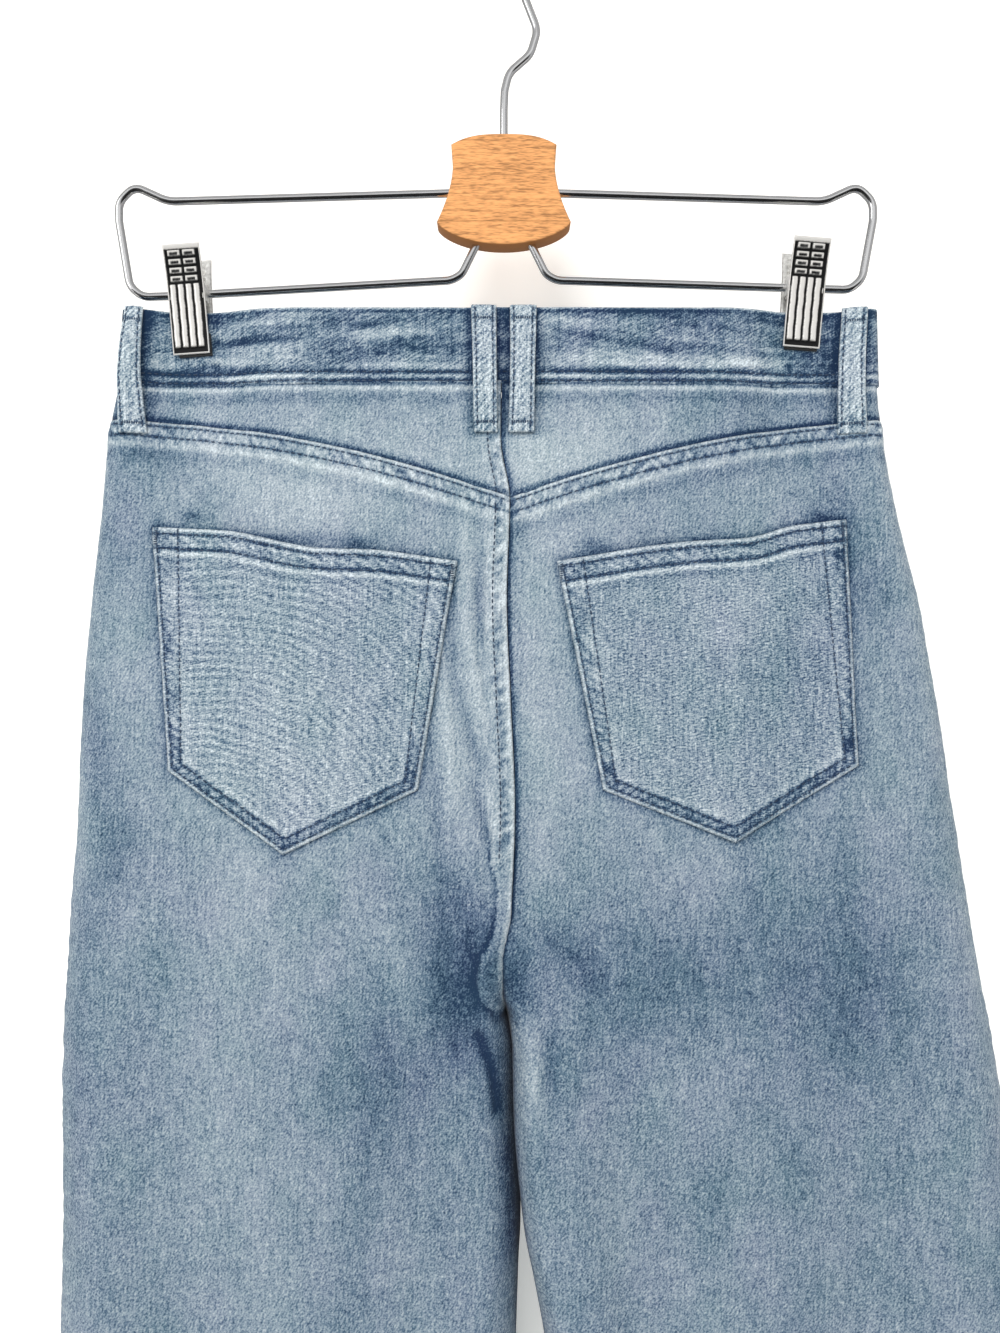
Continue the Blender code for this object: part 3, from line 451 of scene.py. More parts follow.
def unrolled(face, toward, points):
    """The cloth laid flat: its own coordinates in metres, the front's panels set apart from the back's."""
    x, below = points.T
    row = level(below)
    out, inn, deep, _, inner_round = side_of(row, toward)
    turns = (out, np.minimum(deep, ROUND), toward), (inn, inner_bend(row, deep, inner_round), -toward)
    run = x.copy()
    for edge, radius, way in turns:
        off = np.abs(x - edge)
        run += way * (round_fold(off, radius) - (pi / 2 - 1.0) * radius - off)
    shift = (0.0, 0.0) if face == "back" else (0.937, 0.411)
    return np.stack([run, below], axis=-1) + shift


def edge_at(toward, share, edge):
    """Where a seam line, given as a height for each x, crosses each column of the cloth."""
    below = np.full_like(share, BAND_HEIGHT)
    for _ in range(6):
        below = edge(across(toward, share, below))
    return below


def x_of(edge, below):
    """x of one of the form's edges at a height, 'edge' being its column's name in the table of levels."""
    return float(getattr(level(np.array(below)), edge))


def yoke_seam(x):
    share = np.minimum(np.abs(x - x_of("left_in", YOKE_POINT)) / YOKE_SPAN, 1.0)
    return YOKE_SIDE + (YOKE_POINT - YOKE_SIDE) * (1.0 - share) ** YOKE_CURVE


def pocket_mouth(x):
    out = np.where(x < MIDDLE, x_of("left_out", BAND_HEIGHT), x_of("right_out", BAND_HEIGHT))
    share = (np.abs(x - MIDDLE) - SCOOP_START) / (np.abs(out - MIDDLE) - SCOOP_START)
    return BAND_HEIGHT + SCOOP_DEPTH * (1.0 - (1.0 - np.clip(share, 0.0, 1.0)) ** SCOOP_CURVE)


def top_dip(x):
    return CLIP_DIP * bell(off_clip(x), CLIP_DIP_WIDTH)


# A line is a row of points (x, below).
def seam_line(edge, top, end, count=60):
    """A seam down one of the form's edges."""
    belows = np.linspace(top, end, count)
    return np.stack([getattr(level(belows), edge), belows], axis=-1)


def centre_line(top, end):
    return seam_line("left_in", top, end)


def edge_line(edge, start, end):
    """A seam across the cloth, given as a height for each x."""
    xs = np.linspace(start, end, 60)
    return np.stack([xs, edge(xs)], axis=-1)


def level_line(below, start, end):
    return edge_line(lambda xs: np.full_like(xs, below), start, end)


def yoke_line(side):
    return edge_line(yoke_seam, x_of(f"{side}_out", YOKE_SIDE), x_of("left_in", YOKE_POINT))


def along(points, line):
    """Distance of each point (x, below) from a line, and how far along the line its nearest place lies."""
    starts, ends = line[:-1], line[1:]
    runs = ends - starts
    lengths = np.hypot(*runs.T)
    begun = np.concatenate([[0.0], np.cumsum(lengths)[:-1]])
    nearest = np.full(len(points), np.inf)
    place = np.zeros(len(points))
    for start, run, length, before in zip(starts, runs, lengths, begun):
        share = np.clip(((points - start) @ run) / length**2, 0.0, 1.0)
        distance = np.hypot(*(points - start - share[:, None] * run).T)
        closer = distance < nearest
        nearest = np.where(closer, distance, nearest)
        place = np.where(closer, before + share * length, place)
    return nearest, place


# ---------------------------------------------------------------- seams in relief
class Marks:
    """What a piece of cloth carries at each point: height off its form; paleness, which is abrasion and, on
    the crotch fold's edge, a painted highlight; darkness, which is kept indigo and painted shade under lapped
    edges, beside loops and clips and in the crotch's hollows; and the fading, which holds painted shadows
    over the back pockets' mouths.
    """

    def __init__(self, x, below):
        self.points = self.weave = np.stack([x, below], axis=-1)
        count = len(x)
        self.height = np.zeros(count)
        self.wear_and_highlight = np.zeros(count)
        self.indigo_and_shade = np.zeros(count)
        self.wash_and_shade = np.zeros(count)

    def lap(
        self, line, width, rows, rise=0.0009, rope=0.00032, length=0.0055, slant=0.6, seed=1, pale=1.0,
        outer=0.8, dark=0.8,
    ):  # fmt: skip
        """A folded edge laid over the piece beside it, its turnings 'width' deep and sewn through in rows."""
        away, run = along(self.points, line)
        wave = ripples(run, away, length, slant, seed)
        slow = ripples(run, away, length * 3.1, slant, seed + 5)
        fine = noise(run / 0.0013, away / 0.0026, seed + 9)
        body = 1.0 - ease((away - width) / 0.004)
        between = bell(away - width * 0.50, width * 0.50)
        self.height += rise * (1.0 - np.exp(-away / 0.0006)) * body
        self.height += rope * wave * between + rope * 0.8 * slow * bell(away - width, width * 1.3)
        self.wear_and_highlight += pale * bell(away - 0.0008, 0.0010) * (0.80 + 0.20 * wave)
        self.wear_and_highlight += outer * bell(away - width - 0.0014, 0.0017) * (0.75 + 0.35 * slow)
        self.wear_and_highlight += pale * (0.90 * np.clip(wave, 0.0, 1.0) + 0.60 * np.clip(-fine, 0.0, 1.0)) * between
        self.indigo_and_shade += pale * (0.62 * np.clip(-wave, 0.0, 1.0) + 0.60 * np.clip(fine, 0.0, 1.0)) * between
        self.indigo_and_shade += outer * 0.34 * bell(away - width - 0.0060, 0.0040)
        for row in rows:
            self.sew(bell(away - row, 0.0008), 0.00032, dark * (1.05 + 0.35 * wave))

    def sew(self, groove, depth, shade):
        """A sewn row, where 'groove' is 1: the cloth sinks and keeps its indigo."""
        self.height -= depth * groove
        self.indigo_and_shade += shade * groove

    def under(self, line, depth=1.2, reach=0.0012, shade=0.30, spread=0.0045):
        """A painted shadow on the lower piece, beside the edge that lies over it: a dark line, partly indigo
        that the edge keeps from fading, and softer painted shade further out.
        """
        away, _ = along(self.points, line)
        self.indigo_and_shade += depth * bell(away - 0.0004, reach) + shade * bell(away, spread)
        return away

    def fold_tone(self, folds, amount):
        """Creases wear pale on their crests and keep their colour in their troughs."""
        tone = fold_height(folds, *self.points.T) / 0.0012
        self.wear_and_highlight += amount * np.clip(tone, 0.0, 1.0)
        self.indigo_and_shade += amount * np.clip(-tone, 0.0, 1.0)

    def creases(self, cell, height, seed, tilt=0.0):
        """Soft waves of the cloth, as far apart across and down as 'cell' says, and slanted by 'tilt'."""
        x, below = self.points.T
        self.height += height * noise((x + tilt * below) / cell[0], below / cell[1], seed)

    def wash_and_shade_with(self, spots):
        x, below = self.points.T
        for spot in spots:
            self.wash_and_shade += spot.amount * bell(x - spot.x, spot.wide) * bell(below - spot.below, spot.tall)
        self.wash_and_shade += 0.035 * noise(x / 0.021, below / 0.055, 11) + 0.03 * noise(x / 0.009, below / 0.030, 12)


def mesh_of(bm, name):
    mesh = bpy.data.meshes.new(name)
    bm.to_mesh(mesh)
    bm.free()
    return mesh


def grid(name, columns, rows):
    """A flat grid's mesh, with the column and the row from the top of each of its vertices."""
    bm = bmesh.new()
    bmesh.ops.create_grid(bm, x_segments=columns, y_segments=rows, size=0.5)
    mesh = mesh_of(bm, name)
    flat = numbers(mesh.vertices, "co")
    column = np.rint((flat[:, 0] + 0.5) * columns).astype(int)
    row = np.rint((0.5 - flat[:, 1]) * rows).astype(int)
    return mesh, column, row


def numbers(items, name):
    values = np.zeros(len(items) * 3, np.float32)
    items.foreach_get(name, values)
    return values.reshape(-1, 3).astype(float)


def put_points(mesh, points):
    mesh.vertices.foreach_set("co", np.asarray(points, np.float32).ravel())
    mesh.update()


def attribute(mesh, name, values):
    layer = mesh.attributes.new(name, "FLOAT", "POINT")
    layer.data.foreach_set("value", np.asarray(values, np.float32))


def weave_map(mesh, points):
    """The cloth's own coordinates in metres, for its weave."""
    layer = mesh.uv_layers.new(name="Weave")
    corners = np.zeros(len(mesh.loops), np.int32)
    mesh.loops.foreach_get("vertex_index", corners)
    flat = np.stack([points[:, 0], -points[:, 1]], axis=-1)
    layer.uv.foreach_set("vector", flat[corners].astype(np.float32).ravel())


def piece_of(mesh, name, material):
    mesh.materials.clear()
    mesh.materials.append(material)
    mesh.shade_smooth()
    piece = bpy.data.objects.new(name, mesh)
    bpy.context.collection.objects.link(piece)
    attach(piece, "root")
    return piece


def cloth(name, mesh, form, marks, material, wall, flipped):
    """Finishes a cloth piece: raises its relief along the form's normals and gives its wall a thickness."""
    put_points(mesh, form)
    if flipped:
        mesh.flip_normals()
    normals = numbers(mesh.vertex_normals, "vector")
    put_points(mesh, form + normals * marks.height[:, None])
    # The marks: wear with a painted highlight, kept indigo with painted shade, and the fading with painted
    # shadows.
    attribute(mesh, "wear_and_highlight", np.clip(marks.wear_and_highlight, 0.0, 1.0))
    attribute(mesh, "indigo_and_shade", np.clip(marks.indigo_and_shade, 0.0, 1.2))
    attribute(mesh, "wash_and_shade", marks.wash_and_shade)
    weave_map(mesh, marks.weave)
    piece = piece_of(mesh, name, material)
    shell = piece.modifiers.new("wall", "SOLIDIFY")
    shell.thickness = wall
    shell.offset = -1.0
    return piece


# ---------------------------------------------------------------- materials
class Nodes:
    """A material's node tree, built one node at a time."""

    def __init__(self, name, roughness, metallic=0.0):
        self.material = bpy.data.materials.new(name)
        self.material.use_nodes = True
        self.tree = self.material.node_tree
        self.shader = self.tree.nodes["Principled BSDF"]
        self.shader.inputs["Roughness"].default_value = roughness
        self.shader.inputs["Metallic"].default_value = metallic

    def add(self, kind, inputs, output=0, **settings):
        node = self.tree.nodes.new("ShaderNode" + kind)
        for key, value in settings.items():
            setattr(node, key, value)
        for key, value in inputs.items():
            if isinstance(value, bpy.types.NodeSocket):
                self.tree.links.new(value, node.inputs[key])
            else:
                node.inputs[key].default_value = value
        return node.outputs[output]

    def spot(self):
        """Where a point lies on its object."""
        return self.add("TexCoord", {}, "Object")

    def mark(self, name):
        """What the mesh says of a point under a name."""
        return self.add("Attribute", {}, "Fac", attribute_name=name)

    def math(self, operation, a, b):
        return self.add("Math", {0: a, 1: b}, operation=operation)

    def total(self, base, *terms):
        """base plus each (value, amount), a third number being the value's own zero, taken off first."""
        for value, amount, *zero in terms:
            if zero:
                value = self.math("SUBTRACT", value, zero[0])
            base = self.math("ADD", base, self.math("MULTIPLY", value, amount))
        return base

    def grain(self, vector, size, turn=0.0, detail=1.0, rough=0.5):
        """Noise with cells of a size in metres, turned by an angle."""
        sized = self.add(
            "Mapping",
            {"Vector": vector, "Rotation": (0.0, 0.0, turn), "Scale": (*size, size[0])},
            vector_type="TEXTURE",
        )
        return self.add("TexNoise", {"Vector": sized, "Scale": 1.0, "Detail": detail, "Roughness": rough})

    def ramp(self, factor, stops):
        colour = self.add("ValToRGB", {"Fac": factor})
        elements = colour.node.color_ramp.elements
        while len(elements) < len(stops):
            elements.new(1.0)
        for element, (place, stop) in zip(elements, stops):
            element.position = place
            element.color = (*stop, 1.0)
        return colour

    def mixed(self, a, b, share):
        """Colour a turned towards colour b. The node's sockets for colours follow those for other kinds."""
        return self.add("Mix", {0: share, 6: a, 7: b}, 2, data_type="RGBA")

    def paint(self, colour):
        self.tree.links.new(colour, self.shader.inputs["Base Color"])

    def bump(self, height, strength, distance):
        normal = self.add("Bump", {"Height": height, "Strength": strength, "Distance": distance})
        self.tree.links.new(normal, self.shader.inputs["Normal"])


def glow(material, colour, strength):
    shader = material.node_tree.nodes["Principled BSDF"]
    shader.inputs["Emission Color"].default_value = (*colour, 1.0)
    shader.inputs["Emission Strength"].default_value = strength


def linear(red, green, blue):
    """A screen colour, 0 to 255, as the linear colour that a shader takes."""
    shares = [channel / 255 for channel in (red, green, blue)]
    return tuple(s / 12.92 if s <= 0.04045 else ((s + 0.055) / 1.055) ** 2.4 for s in shares)


DENIM_STOPS = [
    (0.0, (26, 49, 78)), (0.25, (80, 103, 126)), (0.5, (135, 151, 164)), (0.75, (173, 184, 191)),
    (1.0, (210, 221, 227)),
]  # fmt: skip


def denim(name, tone, twill_turn, contrast=1.0, twill_size=(0.0022, 0.0009)):
    """Washed denim: indigo that has gone pale on every crest, with flecks, slubs and a twill, and the painted
    highlight and shade that the cloth's marks carry.
    """
    nodes = Nodes(name, 0.92)
    weave = nodes.add("UVMap", {}, uv_map="Weave")
    wear_and_highlight, indigo_and_shade, wash_and_shade = (nodes.mark(name) for name in ("wear_and_highlight", "indigo_and_shade", "wash_and_shade"))
    fleck = nodes.grain(weave, (0.0009, 0.0009), rough=0.6)
    twill = nodes.grain(weave, twill_size, twill_turn, detail=0.0)
    slub = nodes.grain(weave, (0.0011, 0.0170))
    mottle = nodes.grain(weave, (0.0055, 0.0065), detail=2.0, rough=0.6)
    cloud = nodes.grain(weave, (0.0300, 0.0450))
    look = bpy.context.scene.jeans_look
    factor = nodes.total(
        tone + look.fade,
        (wash_and_shade, 1.0), (wear_and_highlight, 0.36), (indigo_and_shade, -0.42),
        (fleck, 1.05 * contrast, 0.5), (twill, 0.62 * contrast, 0.5), (slub, 0.42 * contrast, 0.5),
        (mottle, 0.34, 0.5), (cloud, 0.18, 0.5),
    )  # fmt: skip
    colour = nodes.ramp(factor, [(place, linear(*stop)) for place, stop in DENIM_STOPS])
    hue = nodes.total(0.5, (cloud, 0.05, 0.5), (slub, 0.02, 0.5))
    nodes.paint(nodes.add("HueSaturation", {"Hue": hue, "Color": colour}))
    nodes.bump(nodes.total(0.0, (fleck, 0.6), (twill, 0.7), (slub, 0.4)), look.weave_relief, 0.0006)
    nodes.shader.inputs["Sheen Weight"].default_value = 0.10
    nodes.shader.inputs["Specular IOR Level"].default_value = 0.25
    return nodes.material


def thread(name, colour):
    nodes = Nodes(name, 0.75)
    worn = nodes.grain(nodes.spot(), (0.004, 0.004))
    deep, pale = linear(*colour), linear(*[channel + 24 for channel in colour])
    nodes.paint(nodes.ramp(worn, [(0.35, deep), (0.70, pale)]))
    return nodes.material


def wood(name):
    """Pale varnished beech, its short darker pores lying level, with painted shade on its rim, darkest
    underneath.
    """
    nodes = Nodes(name, 0.55)
    upright = {"Vector": nodes.spot(), "Rotation": (pi / 2, 0.0, 0.0)}
    turned = nodes.add("Mapping", upright, vector_type="TEXTURE")
    pores = nodes.grain(turned, (0.0040, 0.00050))
    bands = nodes.grain(turned, (0.034, 0.0019), detail=2.0)
    broad = nodes.grain(turned, (0.060, 0.0150))
    rim = nodes.mark("rim")
    look = bpy.context.scene.jeans_look
    pale = Vector(look.wood_colour)
    factor = nodes.total(0.52, (pores, 1.8, 0.5), (bands, 1.35, 0.5), (broad, 0.7, 0.5))
    stops = [(0.10, pale * 0.50), (0.38, pale * 0.84), (0.60, pale), (0.90, pale * 1.16)]
    # 'shaded' is painted shade, which the block's rim takes.
    shaded = (pale[0] * 0.40, pale[1] * 0.34, pale[2] * 0.24, 1.0)
    nodes.paint(nodes.mixed(nodes.ramp(factor, stops), shaded, rim))
    nodes.bump(pores, 0.12, 0.0002)
    nodes.shader.inputs["Specular IOR Level"].default_value = 0.3
    return nodes.material


def plain(name, colour, roughness, metallic=0.0, size=0.003, amount=0.06):
    """A plain finish whose tone is a little uneven."""
    nodes = Nodes(name, roughness, metallic)
    uneven = nodes.grain(nodes.spot(), (size, size), detail=2.0)
    base = Vector(colour)
    nodes.paint(nodes.ramp(uneven, [(0.3, base * (1 - amount)), (0.7, base * (1 + amount))]))
    return nodes.material


def plating(name):
    """Bright, unevenly worn plating on the clips' raised parts, with a painted highlight along the ribs'
    crests, and a near-black ground that is partly a dark finish and partly painted shade.
    """
    nodes = Nodes(name, 0.34, 0.42)
    plating_and_painted_light = nodes.mark("plating_and_painted_light")
    worn = nodes.total(plating_and_painted_light, (nodes.grain(nodes.spot(), (0.0010, 0.0026)), 0.50, 0.5))
    stops = [(0.10, (0.010, 0.010, 0.011)), (0.45, (0.14, 0.14, 0.14)), (0.90, (0.84, 0.82, 0.79))]
    nodes.paint(nodes.ramp(worn, stops))
    return nodes.material


# ---------------------------------------------------------------- cloth pieces
def even(count):
    """The shares at which a number of equal steps begin and end."""
    return np.arange(count + 1) / count


def stepped(*spans):
    """Places from 0 on, spaced by each span's step until its end."""
    places = [0.0]
    for end, step in spans:
        count = max(1, round((end - places[-1]) / step))
        places += list(np.linspace(places[-1], end, count + 1)[1:])
    return np.array(places)


# Beside the crotch, on the left leg: the edge of the fold that the centre seam draws up, the notch and the
# short crease under it, and the strip where the leg's inner side turns away, all of which get painted shade.
SEAM_FOLD = [
    (-0.0110, 0.2440), (-0.0044, 0.2537), (-0.0024, 0.2630), (-0.0027, 0.2745), (0.0006, 0.2855),
    (0.0012, 0.2960), (-0.0010, 0.3110), (-0.0072, 0.3227), (-0.0094, 0.3335), (-0.0058, 0.3445),
    (0.0009, 0.3525),
]  # fmt: skip
NOTCH = [(0.0030, 0.3532), (0.0060, 0.3535), (0.0100, 0.3650)]
SHORT_CREASE = [(-0.0075, 0.3610), (-0.0058, 0.3660), (-0.0023, 0.3755), (0.0000, 0.3860), (0.0013, 0.3985)]
INNER_SHADE = [(0.0075, 0.4180), (0.0095, 0.4320), (0.0110, 0.4480), (0.0105, 0.4680)]
BACK_COLUMNS = stepped((0.022, 0.0009), (0.195, 0.0019))
BACK_ROWS = stepped((0.014, 0.0008), (0.468, 0.0020), (0.900, 0.0050), (0.917, 0.0010))
FRONT_COLUMNS = stepped((0.020, 0.0017), (0.195, 0.0031))
FRONT_ROWS = stepped((0.014, 0.0012), (0.450, 0.0038), (0.920, 0.0080), (0.937, 0.0015))
YOKE_COLUMNS = stepped((0.014, 0.0009), (0.195, 0.0013))
YOKE_ROWS = 44
YOKE_UNDER = 0.0022  # how far the yoke runs on under the panels
BAND_OVER = 0.0012  # how far the band reaches down over the yoke
CLOTH_WALL = 0.0012
POCKET_WALL = 0.0011
POCKET_GROOVE = 0.00030
FACING_COLUMNS, FACING_ROWS = 44, 40
FACING_WALL = 0.0010
FACING_SUNK = 0.0018
FACING_SHARE = 0.62  # of the way from the side seam to the centre
MOUTH_SIDE = 0.110  # about where the front pockets' mouths meet the side seams
SEAM_TURN = 0.0088
SMOOTH_FROM = 0.275  # the seat seam lies flat and unworn below this height


def mouth_at(shape, x):
    return smooth_through(*zip(*shape.mouth), x)


def mouth_line(shape, count, trim=0.0):
    """A patch pocket's mouth from the left, short of its corners by 'trim'."""
    xs = np.linspace(shape.mouth[0][0] + trim, shape.mouth[-1][0] - trim, count)
    return np.stack([xs, mouth_at(shape, xs)], axis=-1)


def pocket_outline(shape, rim_only=False):
    """The pocket's edge: down its left side, round the point and up the other side."""
    mouth = mouth_line(shape, 24)
    corners = np.array([shape.low_left, shape.tip, shape.low_right])
    rim = [mouth[:1], corners, mouth[-1:]]
    return np.concatenate(rim if rim_only else rim + [mouth[-2:0:-1]])


def inside(points, outline):
    """Which of the points lie inside a closed outline."""
    x, y = points.T
    within = np.zeros(len(points), bool)
    for (x1, y1), (x2, y2) in zip(outline, np.roll(outline, -1, axis=0)):
        crosses = (y1 > y) != (y2 > y)
        at = x1 + (y - y1) * (x2 - x1) / (y2 - y1 if y1 != y2 else 1e-12)
        within ^= crosses & (x < at)
    return within


def laid_out(name, face, toward, shares, drops, top, end, sunk=0.0):
    """A cloth's grid on the form, a column for each share of its width and a row for each share of its drop
    from 'top' to 'end': its mesh, its marks and its points."""
    mesh, column, row = grid(name, len(shares) - 1, len(drops) - 1)
    tops, ends = (np.broadcast_to(edge, shares.shape) for edge in (top, end))
    below = mix(tops[column], ends[column], drops[row])
    x = across(toward, shares[column], below, sunk)
    marks = Marks(x, below)
    marks.weave = unrolled(face, toward, marks.points)
    return mesh, marks, on_cloth(face, toward, x, below, -sunk)


def panel_mesh(name, face, toward, top_edge, columns, rows):
    shares = 1.0 - columns[::-1] / columns[-1]
    top = edge_at(toward, shares, top_edge) + GAP / 2
    return laid_out(name, face, toward, shares, rows / rows[-1], top, LENGTH)


def common_relief(marks, side, top_line, seed):
    """The laps and creases that every panel has: top edge, side seam, hem, and the cloth's own unevenness."""
    marks.lap(top_line, 0.0105, LAP_ROWS, rope=0.00040, slant=0.8, seed=seed)
    marks.lap(
        seam_line(f"{side}_out", YOKE_SIDE, LENGTH, 120), 0.0070, (), rise=0.0, rope=0.00030, length=0.011,
        seed=seed + 20, pale=0.15, outer=0.1,
    )  # fmt: skip
    marks.lap(
        level_line(LENGTH, -0.24, 0.34), HEM_TURN - 0.0015, (HEM_ROW,), rise=0.0, rope=0.00060, length=0.012,
        slant=1.1, seed=seed + 30,
    )  # fmt: skip
    look = bpy.context.scene.jeans_look
    marks.creases((0.030, 0.120), 0.00075 * look.crease, seed + 40, tilt=0.12)
    marks.creases((0.012, 0.030), 0.00032 * look.crease, seed + 41, tilt=-0.3)
    marks.creases((0.0055, 0.0085), 0.00012 * look.crease, seed + 42, tilt=0.4)


def inseam_lap(marks, side, seed):
    marks.lap(
        seam_line(f"{side}_in", RISE, LENGTH, 80), 0.0060, (), rise=0.0, rope=0.00030, length=0.013,
        seed=seed, pale=0.12, outer=0.0,
    )  # fmt: skip


def back_panel(side, finish):
    toward = WAYS[side]
    name = f"denim_back_{side}"
    mesh, marks, form = panel_mesh(name, "back", toward, yoke_seam, BACK_COLUMNS, BACK_ROWS)
    common_relief(marks, side, yoke_line(side), 3 if side == "left" else 7)
    seat_seam(marks, side)
    inseam_lap(marks, side, seed=17)
    marks.fold_tone(BACK_CREASES, 0.42)
    pocket_bed(marks, POCKETS[side])
    marks.wash_and_shade_with(BACK_WASH_AND_SHADE)
    marks.wash_and_shade += mix(0.015, -0.035, ease((marks.points[:, 1] - 0.22) / 0.15))
    settle(marks, toward)
    return cloth(name, mesh, form, marks, finish, CLOTH_WALL, side == "right")


def seat_seam(marks, side):
    """The centre seam of the back, lapped left over right."""
    seam = centre_line(YOKE_POINT, RISE)
    if side == "right":
        marks.under(seam, reach=0.0012, shade=0.35, spread=0.006)
        return
    unsewn = marks.wear_and_highlight.copy(), marks.indigo_and_shade.copy()
    marks.lap(
        seam, SEAM_TURN, (0.0060,), rise=0.0011, rope=0.00034, length=0.0075, seed=13, pale=0.9, outer=0.25,
        dark=0.40,
    )  # fmt: skip
    below = marks.points[:, 1]
    smooth = 0.85 * ease((below - SMOOTH_FROM + 0.015) / 0.030)
    marks.wear_and_highlight = mix(marks.wear_and_highlight, unsewn[0], smooth)
    marks.indigo_and_shade = mix(marks.indigo_and_shade, unsewn[1], smooth)
    low = 0.7 + 0.5 * ease((below - 0.285) / 0.030)
    marks.wear_and_highlight += low * bell(along(marks.points, seam)[0] - 0.0012, 0.0012)
    crotch_shade(marks)


def pocket_bed(marks, shape):
    """Under a patch pocket the cloth lies smooth and keeps its indigo; round the pocket runs a dark line of
    painted shadow, strongest over the mouth.
    """
    x, below = marks.points.T
    outline = pocket_outline(shape)
    away, _ = along(marks.points, np.concatenate([outline, outline[:1]]))
    covered = inside(marks.points, outline)
    marks.height = mix(marks.height, -0.0004, np.where(covered, ease(away / 0.006), 0.0))
    within = (x > shape.mouth[0][0]) & (x < shape.mouth[-1][0])
    over_mouth = within & (below < mouth_at(shape, x))
    uneven = 0.75 + 0.25 * noise(x / 0.011, below / 0.03, 19)
    line = np.where(over_mouth, 1.0, 0.78) * uneven
    marks.indigo_and_shade += np.where(covered, 0.5, line * (0.95 * bell(away, 0.0016) + 0.26 * bell(away, 0.0048)))


def settle(marks, toward):
    """Lets the relief die out where two panels meet at a side seam or inseam, and keeps those seams dark."""
    x, below = marks.points.T
    out, inn, deep, _, _ = side_of(level(below), toward)
    to_side = round_fold(np.abs(x - out), np.minimum(deep, ROUND))
    to_inseam = np.where(below > RISE, np.abs(x - inn), 1.0)
    marks.height *= ease(np.minimum(to_side / 0.010, to_inseam / 0.006))
    marks.indigo_and_shade += 0.7 * bell(to_inseam, 0.0012) + 0.75 * bell(to_side, 0.0018)
    marks.wear_and_highlight += 0.40 * bell(to_side - 0.0050, 0.0022)


def crotch_shade(marks):
    """The fold beside the crotch, with a painted highlight on its edge, and painted shade in the hollows
    round it, in the notch and in the short crease under it.
    """
    x, below = marks.points.T
    fold = np.array(SEAM_FOLD)
    off, crease, shade, notch = (
        along(marks.points, np.array(line))[0] for line in (fold, SHORT_CREASE, INNER_SHADE, NOTCH)
    )
    risen = x > np.interp(below, fold[:, 1], fold[:, 0])
    lower = ease((below - 0.285) / 0.030)
    kept = ease((below - 0.248) / 0.024) * (1.0 - ease((below - 0.3505) / 0.006))
    marks.height += 0.0016 * kept * np.where(risen, 1.0 - np.exp(-off / 0.0016), 0.0)
    marks.wear_and_highlight += kept * np.where(risen, 0.38 * bell(off - 0.0014, 0.0012), 0.0)
    marks.indigo_and_shade += kept * np.where(risen, 0.30 * lower, (lower * 0.55 + 0.10) * bell(off, 0.0022))
    drawn = bell(below - 0.2800, 0.0110)
    marks.indigo_and_shade += drawn * np.where(risen, 0.0, 1.05 * bell(off, 0.0013))
    hollow = np.where(risen & (below < RISE), 0.0, ease((below - 0.280) / 0.030) * bell(off, 0.0125))
    marks.indigo_and_shade += 0.46 * hollow * (1.0 - ease((below - 0.340) / 0.024))
    marks.indigo_and_shade += 1.15 * bell(crease, 0.0022) + 0.25 * bell(crease, 0.0070)
    marks.height -= 0.0012 * bell(crease, 0.0026)
    under_crotch = ease((below - 0.354) / 0.010) * (1.0 - ease((below - 0.44) / 0.10))
    marks.indigo_and_shade += 0.42 * under_crotch * bell(np.maximum(level(below).left_in - x, 0.0), 0.0105)
    marks.indigo_and_shade += 0.45 * bell(shade, 0.0065) + 1.1 * bell(notch, 0.0024)


def front_panel(side, finish):
    toward = WAYS[side]
    name = f"denim_front_{side}"
    mesh, marks, form = panel_mesh(name, "front", toward, pocket_mouth, FRONT_COLUMNS, FRONT_ROWS)
    mouth = edge_line(pocket_mouth, x_of(f"{side}_out", MOUTH_SIDE), MIDDLE)
    common_relief(marks, side, mouth, 51 if side == "left" else 57)
    seam = centre_line(BAND_HEIGHT, RISE)
    if side == "left":
        marks.lap(seam, 0.0075, (0.0020,), rise=0.0009, rope=0.00030, length=0.009, seed=61)
    else:
        marks.under(seam)
    inseam_lap(marks, side, seed=67)
    marks.fold_tone(FRONT_CREASES, 0.40)
    if side == "left":
        groove, _ = along(marks.points, fly_line(0.0))
        marks.height -= 0.0003 * bell(groove, 0.0011)
        marks.indigo_and_shade += 0.5 * bell(groove, 0.0010)
    marks.wash_and_shade_with(FRONT_WASH)
    settle(marks, toward)
    return cloth(name, mesh, form, marks, finish, CLOTH_WALL, side == "left")


def fly_line(inward):
    """The J of stitching that holds the fly, moved inward by a distance."""
    wide, deep = FLY_WIDE - inward, FLY_DEEP - inward
    turn = np.linspace(0.0, pi / 2, 20)
    straight = np.linspace(BAND_HEIGHT + 0.001, FLY_BEND, 20)[:-1]
    x = np.concatenate([np.full(len(straight), MIDDLE - wide), MIDDLE - wide * np.cos(turn)])
    below = np.concatenate([straight, FLY_BEND + deep * np.sin(turn)])
    return np.stack([x, below], axis=-1)


